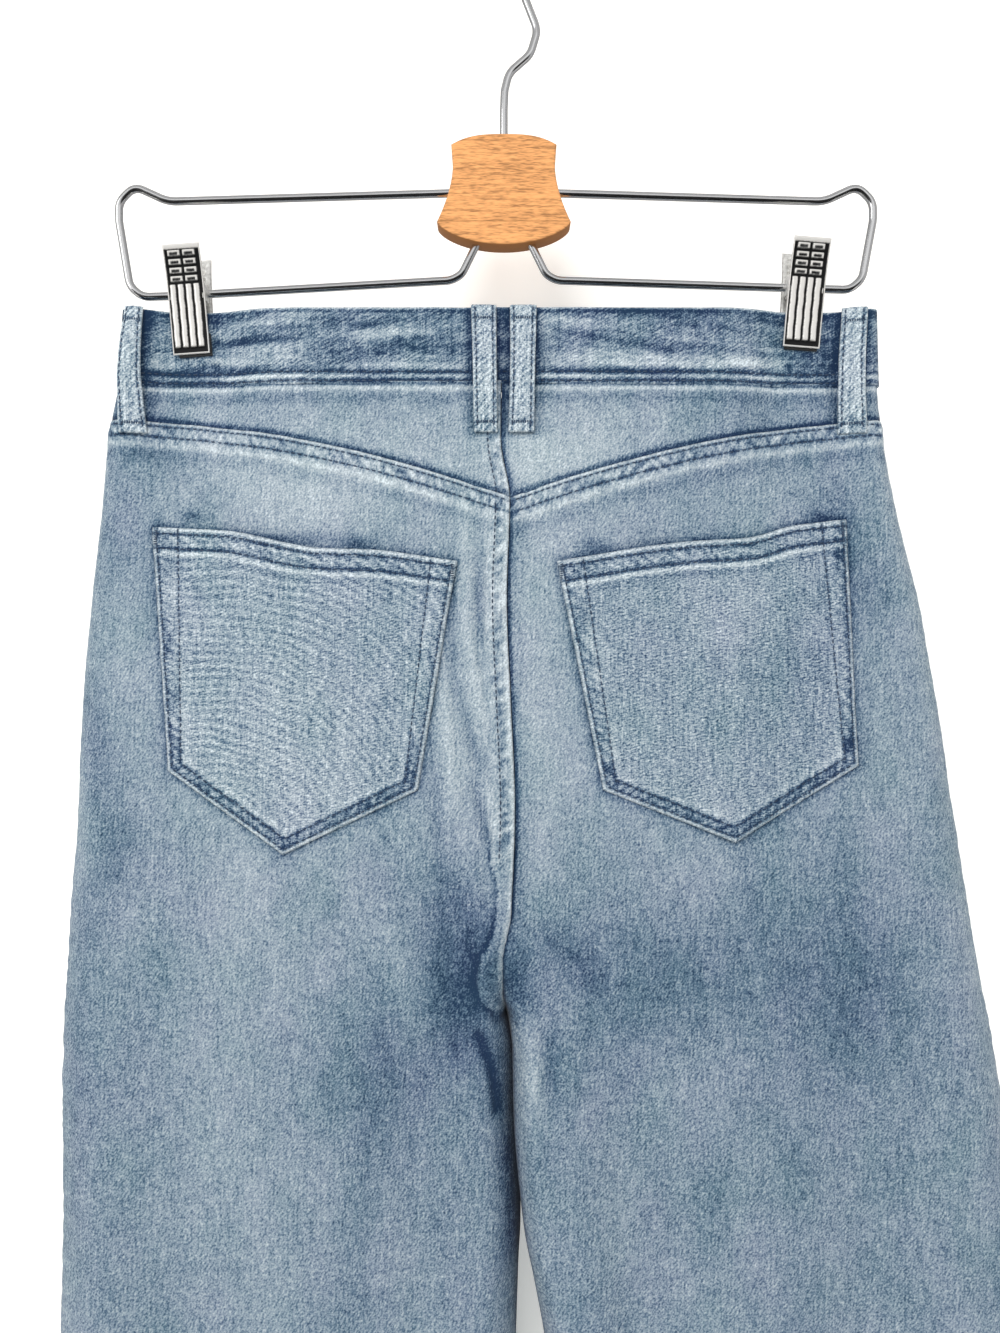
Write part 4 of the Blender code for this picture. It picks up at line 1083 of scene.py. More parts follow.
def yoke_cloth(side, finish):
    toward = WAYS[side]
    name = f"denim_yoke_{side}"
    shares = 1.0 - YOKE_COLUMNS[::-1] / YOKE_COLUMNS[-1]
    end = edge_at(toward, shares, yoke_seam) + YOKE_UNDER
    top = BAND_HEIGHT - BAND_OVER
    mesh, marks, form = laid_out(name, "back", toward, shares, even(YOKE_ROWS), top, end)
    x, below = marks.points.T
    marks.creases((0.020, 0.016), 0.0005, 71 if side == "left" else 73, tilt=0.5)
    marks.creases((0.0070, 0.0060), 0.00018, 75, tilt=0.4)
    seam = centre_line(BAND_HEIGHT, YOKE_POINT + 0.002)
    if side == "left":
        marks.lap(
            seam, 0.0075, (0.0060,), rise=0.0009, rope=0.0003, length=0.007, seed=77, pale=0.8, outer=0.2,
            dark=0.3,
        )  # fmt: skip
    else:
        marks.under(seam, reach=0.0014)
    # Painted shade under the band's edge: a dark line and a softer band below it. The pale ridge is the
    # seam's turnings worn pale, and beside the loops is painted shadow.
    under_band = below - BAND_HEIGHT
    marks.indigo_and_shade += 0.85 * bell(under_band - 0.0002, 0.0007) + 0.30 * bell(under_band - 0.0070, 0.0032)
    marks.wear_and_highlight += 0.70 * bell(under_band - 0.0022, 0.0013)
    marks.indigo_and_shade += 0.45 * beside_loops(x, below, 0.0045)
    away = marks.under(yoke_line(side), depth=1.3, reach=0.0016, shade=0.30, spread=0.0040)
    hidden = below > yoke_seam(x)
    marks.height = np.where(hidden, -0.0005, mix(marks.height, -0.0003, bell(away, 0.002)))
    marks.wash_and_shade += 0.05
    marks.wash_and_shade_with(BACK_WASH_AND_SHADE)
    return cloth(name, mesh, form, marks, finish, CLOTH_WALL, side == "right")


def loop_shape(loop, t):
    """A belt loop's middle and width at each share of the way down it."""
    return smooth_through(HALVES, loop[1:4], t), smooth_through(HALVES, loop[4:], t)


def beside_loops(x, below, reach):
    """1 where the cloth lies right beside a back belt loop, falling to 0 off it: the reach of the painted
    shadow beside the loops.
    """
    total = np.zeros_like(x)
    for loop in LOOPS.values():
        if loop.face == "back":
            t = np.clip((below - LOOP_TOP) / (LOOP_END - LOOP_TOP), 0.0, 1.0)
            middle, wide = loop_shape(loop, t)
            off = np.maximum(np.abs(x - middle) - wide / 2, 0.0)
            total += bell(off, reach) * (1.0 - ease((below - LOOP_END) / 0.004))
    return np.minimum(total, 1.0)


# Creases that a clip's pull draws in the band: from beside the clip outwards, and how far they sink.
DRAGS = [
    (-0.060, 0.006), (-0.052, 0.017), (-0.047, 0.029), (0.030, 0.004), (0.037, 0.015), (0.030, 0.028),
]  # fmt: skip
DRAG_MIDDLE = 0.019
CLIP_HALF = 0.009
BAND_COLUMN = 0.0013


def band_grid(name, start, end):
    """A stretch of waistband's mesh, and the side, x and height of each of its vertices."""
    rows = stepped((0.0016, 0.0004), (BAND_HEIGHT - GAP / 2, 0.00095))
    to_left = MIDDLE - x_of("left_out", 0.0) if start is None else -start
    to_right = x_of("right_out", 0.0) - MIDDLE if end is None else end
    left, right = round(to_left / BAND_COLUMN), round(to_right / BAND_COLUMN)
    mesh, column, row = grid(name, left + right, len(rows) - 1)
    shares = np.concatenate([np.linspace(0.0, 1.0, left + 1), np.linspace(1.0, 0.0, right + 1)[1:]])
    share, toward, below = shares[column], np.where(column <= left, LEFT, RIGHT), rows[row]
    x = across(toward, share, below)
    for stop, way in ((start, LEFT), (end, RIGHT)):
        if stop is not None:
            x = np.where(toward == way, mix(MIDDLE + stop, MIDDLE, share), x)
    return mesh, toward, x, below


def band_drags(marks):
    """The creases that run from each clip along the band, and the painted shade right beside the clip."""
    for way in (-1.0, 1.0):
        clip_at = MIDDLE + way * CLIP_REACH
        for reach, middle in DRAGS:
            ends = mix(middle, DRAG_MIDDLE, -0.15), mix(middle, DRAG_MIDDLE, -0.5)
            line = np.array(
                [(clip_at - way * CLIP_HALF, middle), (clip_at + way * reach * 0.5, ends[0]),
                 (clip_at + way * reach, ends[1])]
            )  # fmt: skip
            off, run = along(marks.points, line)
            strength = 1.0 - ease(run / (abs(reach) + 0.012))
            marks.height -= 0.0007 * strength * bell(off, 0.0022)
            marks.indigo_and_shade += 0.34 * strength * bell(off, 0.0020)
            marks.wear_and_highlight += 0.30 * strength * bell(off - 0.0036, 0.0018)
        beside = np.maximum(np.abs(marks.points[:, 0] - clip_at) - CLIP_HALF, 0.0)
        marks.indigo_and_shade += 0.45 * bell(beside, 0.004)


def band_edges(marks):
    """The waistband's sewn lower edge, and its worn top one."""
    x, below = marks.points.T
    up = BAND_HEIGHT - below
    wave = ripples(x, below, 0.0075, 0.5, 85)
    for row in reversed(BAND_ROWS):
        marks.sew(bell(below - row, 0.0011), 0.0003, 1.05 + 0.3 * wave)
    marks.wear_and_highlight += 0.95 * bell(up - 0.0038, 0.0010) * (0.8 + 0.3 * wave)
    marks.wear_and_highlight += 0.45 * bell(up - 0.0095, 0.0016) * (0.7 + 0.5 * noise(x / 0.03, 0.5, 84))
    marks.height += 0.00025 * wave * bell(up - 0.004, 0.004)
    marks.wear_and_highlight += 0.9 * bell(below - 0.0003, 0.0007)
    marks.indigo_and_shade += 0.95 * bell(below - 0.0021, 0.0009)


def band_streaks(marks):
    """Worn streaks along the waistband, which lean down away from its middle."""
    x, below = marks.points.T
    away_from_clips = 1.0 - 0.5 * bell(off_clip(x), 0.02)
    lean = np.where(x < MIDDLE, 0.10, -0.12) * (x - MIDDLE)
    streak = noise(x / 0.021 + 3.0, (below + lean) / 0.0031, 87)
    thin = noise(x / 0.0080, (below + 1.6 * lean) / 0.0015, 89)
    long = noise(x / 0.055 + 7.0, (below + 0.5 * lean) / 0.0048, 91)
    marks.wash_and_shade += away_from_clips * (0.15 * streak + 0.10 * thin + 0.20 * long)
    marks.wash_and_shade -= 0.10 * bell(below - 0.0040, 0.0035)
    marks.wash_and_shade += 0.13 * bell(BAND_HEIGHT - below - 0.0120, 0.0035) * (0.7 + 0.5 * long)
    marks.height += 0.00030 * streak + 0.00012 * thin


def band_cloth(name, face, stops, extra, finish):
    """A stretch of waistband between two distances from the middle, or the fold where a stop is None."""
    mesh, toward, x, below = band_grid(name, *stops)
    marks = Marks(x, below)
    marks.weave = unrolled(face, toward, marks.points)
    lift = BAND_PROUD - extra(x)
    form = on_cloth(face, toward, x, below, np.minimum(lift, 0.0))
    out, _, deep, _, _ = side_of(level(below), toward)
    turned = np.clip(np.abs(x - out) / np.minimum(mix(deep, CLIP_GRIP, pinch(x, below)), ROUND), 0.0, 1.0)
    proud = np.maximum(lift, 0.0)
    form[:, 0] -= toward * proud * (1.0 - turned)
    form[:, 1] += OUTWARD[face] * proud * corner(turned)
    form[:, 2] -= top_dip(x) * (1.0 - below / BAND_HEIGHT)
    marks.height -= 0.0009 * (1.0 - corner(below / 0.0013))
    band_drags(marks)
    marks.creases((0.016, 0.0075), 0.00045, 81, tilt=0.9)
    marks.creases((0.0060, 0.0045), 0.00018, 83, tilt=0.4)
    band_edges(marks)
    band_streaks(marks)
    # On the back: painted shadow beside the belt loops, and dark lines at the band's seams.
    if face == "back":
        marks.indigo_and_shade += 1.1 * beside_loops(x, below, 0.0028)
        for seam in (MIDDLE - 0.0255, MIDDLE + 0.0275):
            marks.indigo_and_shade += 0.30 * bell(x - seam, 0.0007)
    marks.wash_and_shade_with(BACK_WASH_AND_SHADE if face == "back" else FRONT_WASH)
    edges = level(below)
    marks.height *= ease(np.minimum(np.abs(x - edges.left_out), np.abs(x - edges.right_out)) / 0.008)
    wall = BAND_WALL - BAND_PROUD
    return cloth(name, mesh, form, marks, finish, wall, face == "front")


def loop_cloth(node, loop, finish):
    """A belt loop: a folded strip, tacked at both ends, its edges worn pale."""
    name = f"denim_{node}"
    columns, rows = 18, 92
    mesh, column, down = grid(name, columns, rows)
    t = down / rows
    u = column / columns - 0.5
    below = mix(LOOP_TOP, LOOP_END, t)
    middle, wide = loop_shape(loop, t)
    x = middle + u * wide
    toward = LEFT if loop.x_mid < MIDDLE else RIGHT
    on_band = 1.0 - ease((below - BAND_HEIGHT) / LOOP_DROP + 0.4)
    lift = 0.0006 + BAND_PROUD * on_band + LOOP_SLACK * np.sin(pi * t) ** 0.8 + LOOP_WALL
    row = level(np.maximum(below, 0.0))
    form = on_cloth(loop.face, toward, np.clip(x, row.left_out, row.right_out), row.below)
    form[:, 0] = CLOTH_X + x
    form[:, 1] += OUTWARD[loop.face] * lift
    form[:, 2] = WAIST_TOP - below
    marks = Marks(x, below)
    edge = (0.5 - np.abs(u)) * wide
    end = np.minimum(t, 1.0 - t) * (LOOP_END - LOOP_TOP)
    marks.height -= 0.0009 * (1.0 - corner(edge / 0.0011)) + 0.0008 * (1.0 - corner(end / 0.0010))
    seed = len(node)
    wave = ripples(below, x, 0.0052, 0.7, 91 + seed)
    marks.sew(bell(edge - LOOP_ROW, 0.0006), 0.00028, 0.60 + 0.3 * wave)
    marks.wear_and_highlight += 0.45 * bell(edge - 0.0006, 0.0007) * (0.7 + 0.4 * wave)
    marks.wear_and_highlight += 0.30 * bell(edge - 0.0036, 0.0012)
    for tack in LOOP_TACKS:
        marks.height -= 0.0004 * bell(below - tack, 0.0011)
        marks.indigo_and_shade += 0.55 * bell(below - tack, 0.0013)
    marks.height += 0.00018 * noise(x / 0.003, below / 0.004, 93 + seed)
    marks.wash_and_shade += 0.06 * noise(x / 0.004, below / 0.012, 97 + seed) + 0.03
    wall = LOOP_WALL * 0.8
    return cloth(name, mesh, form, marks, finish, wall, loop.face == "front")


def pocket_edge(marks, shape, edge, run, seed):
    """A patch pocket's turned edge, held by one row of stitches, and by two round its point."""
    near_point, _ = along(marks.points, pocket_outline(shape, rim_only=True)[1:-1])
    wave = ripples(run, edge, 0.0056, 0.9, seed + 2)
    slow = ripples(run, edge, 0.0150, 0.8, seed + 3)
    fine = noise(run / 0.0013, edge / 0.0022, seed + 6)
    worn = 0.62 + 0.30 * noise(run / 0.0065, 0.5, seed + 7)
    blotch = np.clip(noise(run / 0.0075, 0.5, seed + 11) - 0.05, 0.0, 1.0)
    body = 1.0 - ease((edge - 0.0070) / 0.004)
    round_point = 1.0 - ease((near_point - 0.012) / 0.006)
    marks.height += 0.0006 * body * (1.0 - np.exp(-edge / 0.0006)) - 0.0007 * np.exp(-edge / 0.0005)
    marks.height += (0.00030 * wave + 0.00025 * slow) * bell(edge - 0.004, 0.0055)
    marks.wear_and_highlight += worn * bell(edge - 0.0010, 0.0012)
    marks.wear_and_highlight += 0.55 * np.clip(wave, 0, 1) * bell(edge - 0.0045, 0.004)
    marks.wear_and_highlight += 0.55 * bell(edge - 0.0092, 0.0018) * (0.7 + 0.4 * slow)
    marks.indigo_and_shade += round_point * bell(edge - 0.0044, 0.0024) * (0.36 + 0.50 * fine)
    marks.indigo_and_shade += 0.70 * blotch * (1.0 - round_point) * bell(edge - 0.0070, 0.0036)
    marks.indigo_and_shade += 0.55 * np.clip(-wave, 0, 1) * bell(edge - 0.0060, 0.0040)
    marks.sew(bell(edge - 0.0024, 0.0009), POCKET_GROOVE, 0.95)
    marks.sew(bell(edge - 0.0068, 0.0009) * round_point, POCKET_GROOVE, 0.95)
    for line in inner_rows(shape):
        off, _ = along(marks.points, line)
        marks.sew(bell(off, 0.0008), POCKET_GROOVE, 0.55)


def pocket_hem(marks, shape, seed):
    """A patch pocket's mouth, turned over and held by two rows of stitches."""
    hem, run = along(marks.points, mouth_line(shape, 40))
    wave = ripples(run, hem, 0.0065, 1.2, seed + 4)
    fine = noise(run / 0.0016, hem / 0.0030, seed + 8)
    turned = 1.0 - ease((hem - 0.0118) / 0.0016)
    marks.height += 0.0005 * turned - 0.0006 * np.exp(-hem / 0.0006)
    marks.height += 0.00032 * wave * bell(hem - 0.006, 0.005)
    between = bell(hem - 0.0065, 0.003)
    marks.wear_and_highlight += 0.95 * bell(hem - 0.0009, 0.0012) + 0.85 * np.clip(wave, 0, 1) * between
    marks.wear_and_highlight += 1.00 * bell(hem - 0.0128, 0.0014)
    marks.indigo_and_shade += (0.60 * np.clip(-wave, 0, 1) + 0.45 * fine) * between
    marks.indigo_and_shade += 0.36 * bell(hem - 0.0155, 0.0022) * (0.8 + 0.3 * wave)
    marks.sew(bell(hem - 0.0032, 0.0010), POCKET_GROOVE, 1.05)
    marks.sew(bell(hem - 0.0104, 0.0012), POCKET_GROOVE, 1.20)


def corner_arcs(marks, edge):
    """Fine creases drawn in arcs round the left pocket's lower outer corner."""
    x, below = marks.points.T
    reach = np.hypot(x + 0.140, below - 0.285) / 0.0044
    drawn = np.sin(2 * pi * (reach + 0.55 * noise(x / 0.018, below / 0.018, 105)))
    drawn *= (0.62 + 0.38 * noise(x / 0.012, below / 0.020, 107)) * ease((edge - 0.006) / 0.012)
    marks.height += 0.00026 * drawn
    marks.wash_and_shade += 0.16 * drawn


def pocket_cloth(side, finish):
    shape = POCKETS[side]
    name = f"denim_pocket_{side}"
    cells = 116
    mesh, column, down = grid(name, cells, cells)
    u, t = column / cells, down / cells
    top_x = mix(shape.mouth[0][0], shape.mouth[-1][0], u)
    feet = np.array([shape.low_left, shape.tip, shape.low_right])
    foot_x, foot = (np.interp(u, HALVES, feet[:, axis]) for axis in (0, 1))
    x, below = mix(top_x, foot_x, t), mix(mouth_at(shape, top_x), foot, t)
    marks = Marks(x, below)
    lift = 0.0004 + 0.0012 * (1.0 - t) ** 3 * np.sin(pi * u) + 0.0015
    form = on_cloth("back", WAYS[side], x, below, lift)
    seed = 101 if side == "left" else 121
    edge, run = along(marks.points, pocket_outline(shape, rim_only=True))
    marks.creases((0.026, 0.034), 0.00065, seed, tilt=0.25)
    marks.creases((0.0080, 0.0100), 0.00024, seed + 1, tilt=-0.5)
    pocket_edge(marks, shape, edge, run, seed)
    if side == "left":
        corner_arcs(marks, edge)
    pocket_hem(marks, shape, seed)
    marks.wash_and_shade_with(BACK_WASH_AND_SHADE)
    return cloth(name, mesh, form, marks, finish, POCKET_WALL, False)


def inner_rows(shape):
    """The inner rows of stitching down a pocket's sides, which near the edge as they go down."""
    lines = []
    for top, low, way in ((shape.mouth[0], shape.low_left, 1.0), (shape.mouth[-1], shape.low_right, -1.0)):
        run = np.subtract(low, top)
        inward = way * np.array([run[1], -run[0]]) / np.hypot(*run)
        lines.append(np.stack([top + run * 0.015 + inward * 0.0128, low - run * 0.02 + inward * 0.0068]))
    return lines


def facing_cloth(side, finish):
    toward = WAYS[side]
    name = f"denim_facing_{side}"
    shares = FACING_SHARE * even(FACING_COLUMNS)
    top, end = BAND_HEIGHT + GAP, edge_at(toward, shares, pocket_mouth) + FACING_UNDER
    mesh, marks, form = laid_out(name, "front", toward, shares, even(FACING_ROWS), top, end, FACING_SUNK)
    marks.creases((0.014, 0.012), 0.0003, 131)
    mouth = edge_line(pocket_mouth, x_of(f"{side}_out", YOKE_SIDE), MIDDLE)
    marks.under(mouth, depth=0.9, reach=0.002, shade=0.3, spread=0.006)
    marks.wash_and_shade += 0.02
    return cloth(name, mesh, form, marks, finish, FACING_WALL, side == "left")


# ---------------------------------------------------------------- stitching
def moved_in(line, distance):
    """A line of points (x, below) moved to one side of itself: to its left as it is followed."""
    runs = np.gradient(line, axis=0)
    runs /= np.hypot(*runs.T)[:, None]
    return line + distance * np.stack([runs[:, 1], -runs[:, 0]], axis=-1)


def stitches(bm, tree, face, line, skip=0.0, tack=False):
    """Threads of stitches along a line, or across it where it is a bar tack's, pressed into the cloth."""
    look = bpy.context.scene.jeans_look
    pitch, length, radius = look.stitch_pitch, look.stitch_length, look.stitch_radius
    if tack:
        pitch, length, radius = TACK_PITCH, TACK_LENGTH, radius * 0.9
    runs = np.diff(line, axis=0)
    places = np.concatenate([[0.0], np.cumsum(np.hypot(*runs.T))])
    out = Vector((0.0, OUTWARD[face], 0.0))

    def cloth_under(place):
        x, below = (np.interp(place, places, line[:, axis]) for axis in (0, 1))
        start = Vector((CLOTH_X + x, 0.0, WAIST_TOP - below)) + out * 0.2
        return tree.ray_cast(start, -out, 0.199)

    for place in np.arange(skip + pitch / 2, places[-1] - skip, pitch):
        here, normal, _, _ = cloth_under(place - pitch / 8)
        ahead, _, _, _ = cloth_under(place + pitch / 8)
        if here is None or ahead is None or normal.dot(out) < 0.5:
            continue
        along_thread = (ahead - here).normalized()
        if tack:
            along_thread = along_thread.cross(normal)
        aside = normal.cross(along_thread).normalized()
        turn = Matrix((along_thread, aside, aside.cross(along_thread) * -1.0)).transposed().to_4x4()
        size = Matrix.Diagonal((length / 2, radius, radius * 0.8, 1.0))
        matrix = Matrix.Translation(here + normal * radius * 0.15) @ turn @ size
        bmesh.ops.create_icosphere(bm, subdivisions=1, radius=1.0, matrix=matrix)


def surface(*names):
    """The outer faces of finished cloths, which stitches are pressed into."""
    bm = bmesh.new()
    for name in names:
        bm.from_mesh(MADE[f"denim_{name}"].data)
    tree = BVHTree.FromBMesh(bm)
    bm.free()
    return tree


def stitched(name, finish, build):
    """A piece of many small parts, which 'build' puts into its mesh."""
    bm = bmesh.new()
    build(bm)
    bmesh.ops.recalc_face_normals(bm, faces=bm.faces)
    piece_of(mesh_of(bm, name), name, finish)


# ---------------------------------------------------------------- hanger
# Heights are above the inner top of the hook. The hook's side is given as x off the stem and a height, the
# wires' shoulders and heels as the way in from their reach and up from the wire's top or foot, the runs and
# the part under the block as x off the stem and a height, and a clip's leaf as a height off the wire and how
# far out it stands.
HOOK_R = 0.0180
HOOK_ARC = (radians(176), radians(22))
HOOK_SIDE = [
    (0.0172, -0.0352), (0.0135, -0.0475), (0.0025, -0.0572), (0.0004, -0.0660), (0.0000, -0.0760),
]  # fmt: skip
HOOK_BEND = 0.012
STEM_END = -0.1037
REACH = {"left": 0.1966, "right": 0.1886}
BLOCK_TOP = -0.0907
BLOCK_TALL = 0.0558
BLOCK_THICK = 0.0125
BLOCK_SHOULDER = (0.0266, 0.0054)
BLOCK_WAIST = (0.0258, 0.0163)
BLOCK_HIP = (0.0338, 0.0443)
BLOCK_EDGE = 0.0012
WIRE_START = 0.0200
WIRE_TOP = -0.1181
WIRE_FOOT = {"left": -0.1711, "right": -0.1675}
WIRE_SHOULDER = [(0.0255, -0.0044), (0.0085, 0.0034), (0.0005, -0.0046), (0.0005, -0.0140)]
WIRE_HEEL = [(0.0060, 0.0055), (0.0125, 0.0000)]
RUN_OUTER = (0.0300, 0.0005)  # as the heels
RUN_INNER = (0.0270, -0.1627)
WIRE_BEND = 0.020
WIRE_UNDER = [(0.0215, -0.1597), (0.0115, -0.1395)]
CLIP_AT = {"left": (-0.1488, radians(4.2)), "right": (0.1635, radians(-4.6))}
CLIP_WIDTH = 0.0186
LEAF = [(-0.0318, 0.0060), (-0.0160, 0.0066), (0.0000, 0.0078), (0.0100, 0.0092), (0.0218, 0.0120)]
LEAF_WALL = 0.0010
EAR_X = {"front": 0.0083, "rear": 0.0069}
EAR_R = 0.0042
EAR_PAST = 0.0030
EAR_EDGE = 0.0003
SPRING_TURNS = 5
SPRING_PITCH = 0.0019
SPRING_R = 0.0032
SPRING_WIRE = 0.0006


def bent(points, radius, steps=8):
    """Points of a wire through the corners of a path, each corner turned on an arc."""
    points = [Vector(p) for p in points]
    path = [points[0]]
    for before, here, after in zip(points, points[1:], points[2:]):
        back, on = (before - here), (after - here)
        tightest = 0.45 * min(back.length, on.length)
        trim = min(radius / max(np.tan(back.angle(on) / 2), 1e-6), tightest)
        start, end = here + back.normalized() * trim, here + on.normalized() * trim
        for k in range(steps + 1):
            t = k / steps
            path.append(start * (1 - t) ** 2 + here * 2 * t * (1 - t) + end * t**2)
    path.append(points[-1])
    return path


def wire(name, path, finish, replaced):
    curve = bpy.data.curves.new(name, "CURVE")
    curve.dimensions = "3D"
    curve.bevel_depth = WIRE_R
    curve.bevel_resolution = 6
    curve.use_fill_caps = True
    spline = curve.splines.new("POLY")
    spline.points.add(len(path) - 1)
    for point, place in zip(spline.points, path):
        point.co = (*place, 1.0)
    spline.use_smooth = True
    curve.materials.append(finish)
    piece = bpy.data.objects.new(name, curve)
    bpy.context.collection.objects.link(piece)
    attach(piece, "root")
    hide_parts(replaced)


def hook_path():
    radius = HOOK_R + WIRE_R
    angles = np.linspace(*HOOK_ARC, 40)
    arc = [Vector((radius * cos(a), 0.0, radius * sin(a) - HOOK_R)) for a in angles]
    side = [(STEM_X + x, 0.0, z) for x, z in HOOK_SIDE]
    return arc[:-1] + bent([arc[-1], *side, (STEM_X, 0.0, STEM_END)], HOOK_BEND)


def foot_run(side):
    inward, up = RUN_OUTER
    return (REACH[side] - inward, WIRE_FOOT[side] + up), RUN_INNER


def frame_path(side):
    way = -1.0 if side == "left" else 1.0
    corners = [(WIRE_START, WIRE_TOP)]
    corners += [(REACH[side] - inward, WIRE_TOP + up) for inward, up in WIRE_SHOULDER]
    corners += [(REACH[side] - inward, WIRE_FOOT[side] + up) for inward, up in WIRE_HEEL]
    corners += [*foot_run(side), *WIRE_UNDER]
    return bent([(STEM_X + way * d, 0.0, z) for d, z in corners], WIRE_BEND)


def bevelled(bm, edges, width, steps):
    bmesh.ops.bevel(
        bm, geom=edges, offset=width, segments=steps, profile=0.5, affect="EDGES", material=-1
    )


def block_outline():
    """The block's right half, from the top's middle down to the underside's: x off its middle, and height."""
    crown = np.linspace(0.0, 1.0, 18)
    arch = [(BLOCK_SHOULDER[0] * d, BLOCK_SHOULDER[1] * d**3) for d in crown]
    flare = np.linspace(0.0, 1.0, 20)
    side = [(mix(BLOCK_WAIST[0], BLOCK_HIP[0], t**1.7), mix(BLOCK_WAIST[1], BLOCK_HIP[1], t)) for t in flare]
    bow = np.linspace(0.0, pi / 2, 22)[1:]
    deep = BLOCK_TALL - BLOCK_HIP[1]
    under = [(BLOCK_HIP[0] * cos(a), BLOCK_HIP[1] + deep * sin(a) ** 1.35) for a in bow]
    return [(x, BLOCK_TOP - down) for x, down in arch + side + under]


def block(finish):
    outline = block_outline()
    mirrored = [(-x, z) for x, z in outline[-2:0:-1]]
    bm = bmesh.new()
    ring = [bm.verts.new((STEM_X + x, -BLOCK_THICK / 2, z)) for x, z in outline + mirrored]
    grown = bmesh.ops.extrude_face_region(bm, geom=[bm.faces.new(ring)])
    far_side = [v for v in grown["geom"] if isinstance(v, bmesh.types.BMVert)]
    bmesh.ops.translate(bm, vec=(0.0, BLOCK_THICK, 0.0), verts=far_side)
    rims = [e for e in bm.edges if abs(e.verts[0].co.y - e.verts[1].co.y) < 1e-6]
    bevelled(bm, rims, BLOCK_EDGE, 4)
    bmesh.ops.recalc_face_normals(bm, faces=bm.faces)
    mesh = mesh_of(bm, "beech_block")
    # Painted shade on the rim: the faces that turn off the block's flat sides, darkest where they face down.
    _, outward, upward = numbers(mesh.vertex_normals, "vector").T
    turned_off = ease((1.0 - np.abs(outward) - 0.25) / 0.5)
    attribute(mesh, "rim", turned_off * mix(0.45, 1.0, ease(-upward)))
    piece = piece_of(mesh, "beech_block", finish)
    for face in mesh.polygons:
        face.use_smooth = abs(face.normal.y) < 0.999
    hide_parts("hanger_block")
    return piece


def clip_place(side):
    """Turns a clip's own shape, built round its wire, into its place on the hanger."""
    x, lean = CLIP_AT[side]
    (outer_x, outer_z), (inner_x, inner_z) = foot_run(side)
    share = (outer_x - abs(x - STEM_X)) / (outer_x - inner_x)
    return Matrix.Translation((x, 0.0, mix(outer_z, inner_z, share))) @ Matrix.Rotation(-lean, 4, "Y")


def swell(distance, half, soft):
    """1 within half a width, 0 outside it, with a soft shoulder."""
    return 1.0 - ease((np.abs(distance) - half) / soft + 0.5)


def leaf_relief(across_leaf, height):
    """The pressing of a clip's outer leaf, two columns of short bars over four long ribs on a sunken ground:
    how high each point stands, and how bright its plating is painted. The brightness carries a painted
    highlight along each rib's crest and painted shade in the bars' cups, and the near-black ground is partly
    a dark finish and partly painted shade."""
    top, bottom = LEAF[-1][0], LEAF[0][0]
    u = across_leaf / CLIP_WIDTH

    def between(upper, lower, soft):
        return swell(height - (upper + lower) / 2, (upper - lower) / 2, soft)

    ground = swell(u, 0.462, 0.02) * between(top - 0.0024, bottom + 0.0009, 0.0006)
    raised, plating_and_painted_light = -0.00085 * ground, 1.0 - ground
    for column in (-0.215, 0.185):
        for k in range(4):
            middle = top - 0.0042 - k * 0.0040
            bar = swell(u - column, 0.165, 0.04) * swell(height - middle, 0.0013, 0.0005)
            cup = swell(u - column, 0.110, 0.05) * swell(height - middle + 0.0004, 0.0006, 0.0006)
            raised = raised + 0.00110 * bar - 0.00035 * cup
            plating_and_painted_light = np.maximum(plating_and_painted_light, bar * (1.0 - 0.85 * cup))
    wander = 0.004 * np.sin(height * 700.0 + 1.3)
    stretch = between(top - 0.0188, bottom + 0.0036, 0.0008)
    for k in range(4):
        rib = np.sqrt(np.clip(1.0 - ((u + 0.028 - (k - 1.5) * 0.212 - wander) / 0.090) ** 2, 0.0, 1.0))
        raised = raised + 0.00115 * rib * stretch
        plating_and_painted_light = np.maximum(plating_and_painted_light, stretch * np.clip(1.6 * rib - 0.35, 0.0, 1.0))
    return raised, plating_and_painted_light


def clip_leaf(side, face, finish):
    columns, rows = (78, 156) if face == "front" else (48, 96)
    name = f"clip_leaf_{side}_{face}"
    mesh, column, down = grid(name, columns, rows)
    way = -1.0 if face == "front" else 1.0
    x = (column / columns - 0.5) * CLIP_WIDTH
    height = mix(LEAF[-1][0], LEAF[0][0], down / rows)
    out = smooth_through(*zip(*LEAF), height)
    edge = np.minimum(CLIP_WIDTH / 2 - np.abs(x), np.minimum(LEAF[-1][0] - height, height - LEAF[0][0]))
    raised, plating_and_painted_light = leaf_relief(x, height)
    out = out + raised - 0.0006 * (1.0 - corner(edge / 0.0008))
    put_points(mesh, np.stack([x, way * out, height], axis=-1))
    mesh.transform(clip_place(side))
    if face == "rear":
        mesh.flip_normals()
    attribute(mesh, "plating_and_painted_light", plating_and_painted_light)
    piece = piece_of(mesh, name, finish)
    mesh.materials.append(FINISH["leaf"])
    shell = piece.modifiers.new("wall", "SOLIDIFY")
    shell.material_offset = shell.material_offset_rim = 1
    shell.thickness = LEAF_WALL * 0.8
    shell.offset = -1.0
    shell.use_even_offset = False
    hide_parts(f"clip_{side}_{face}")
    return piece


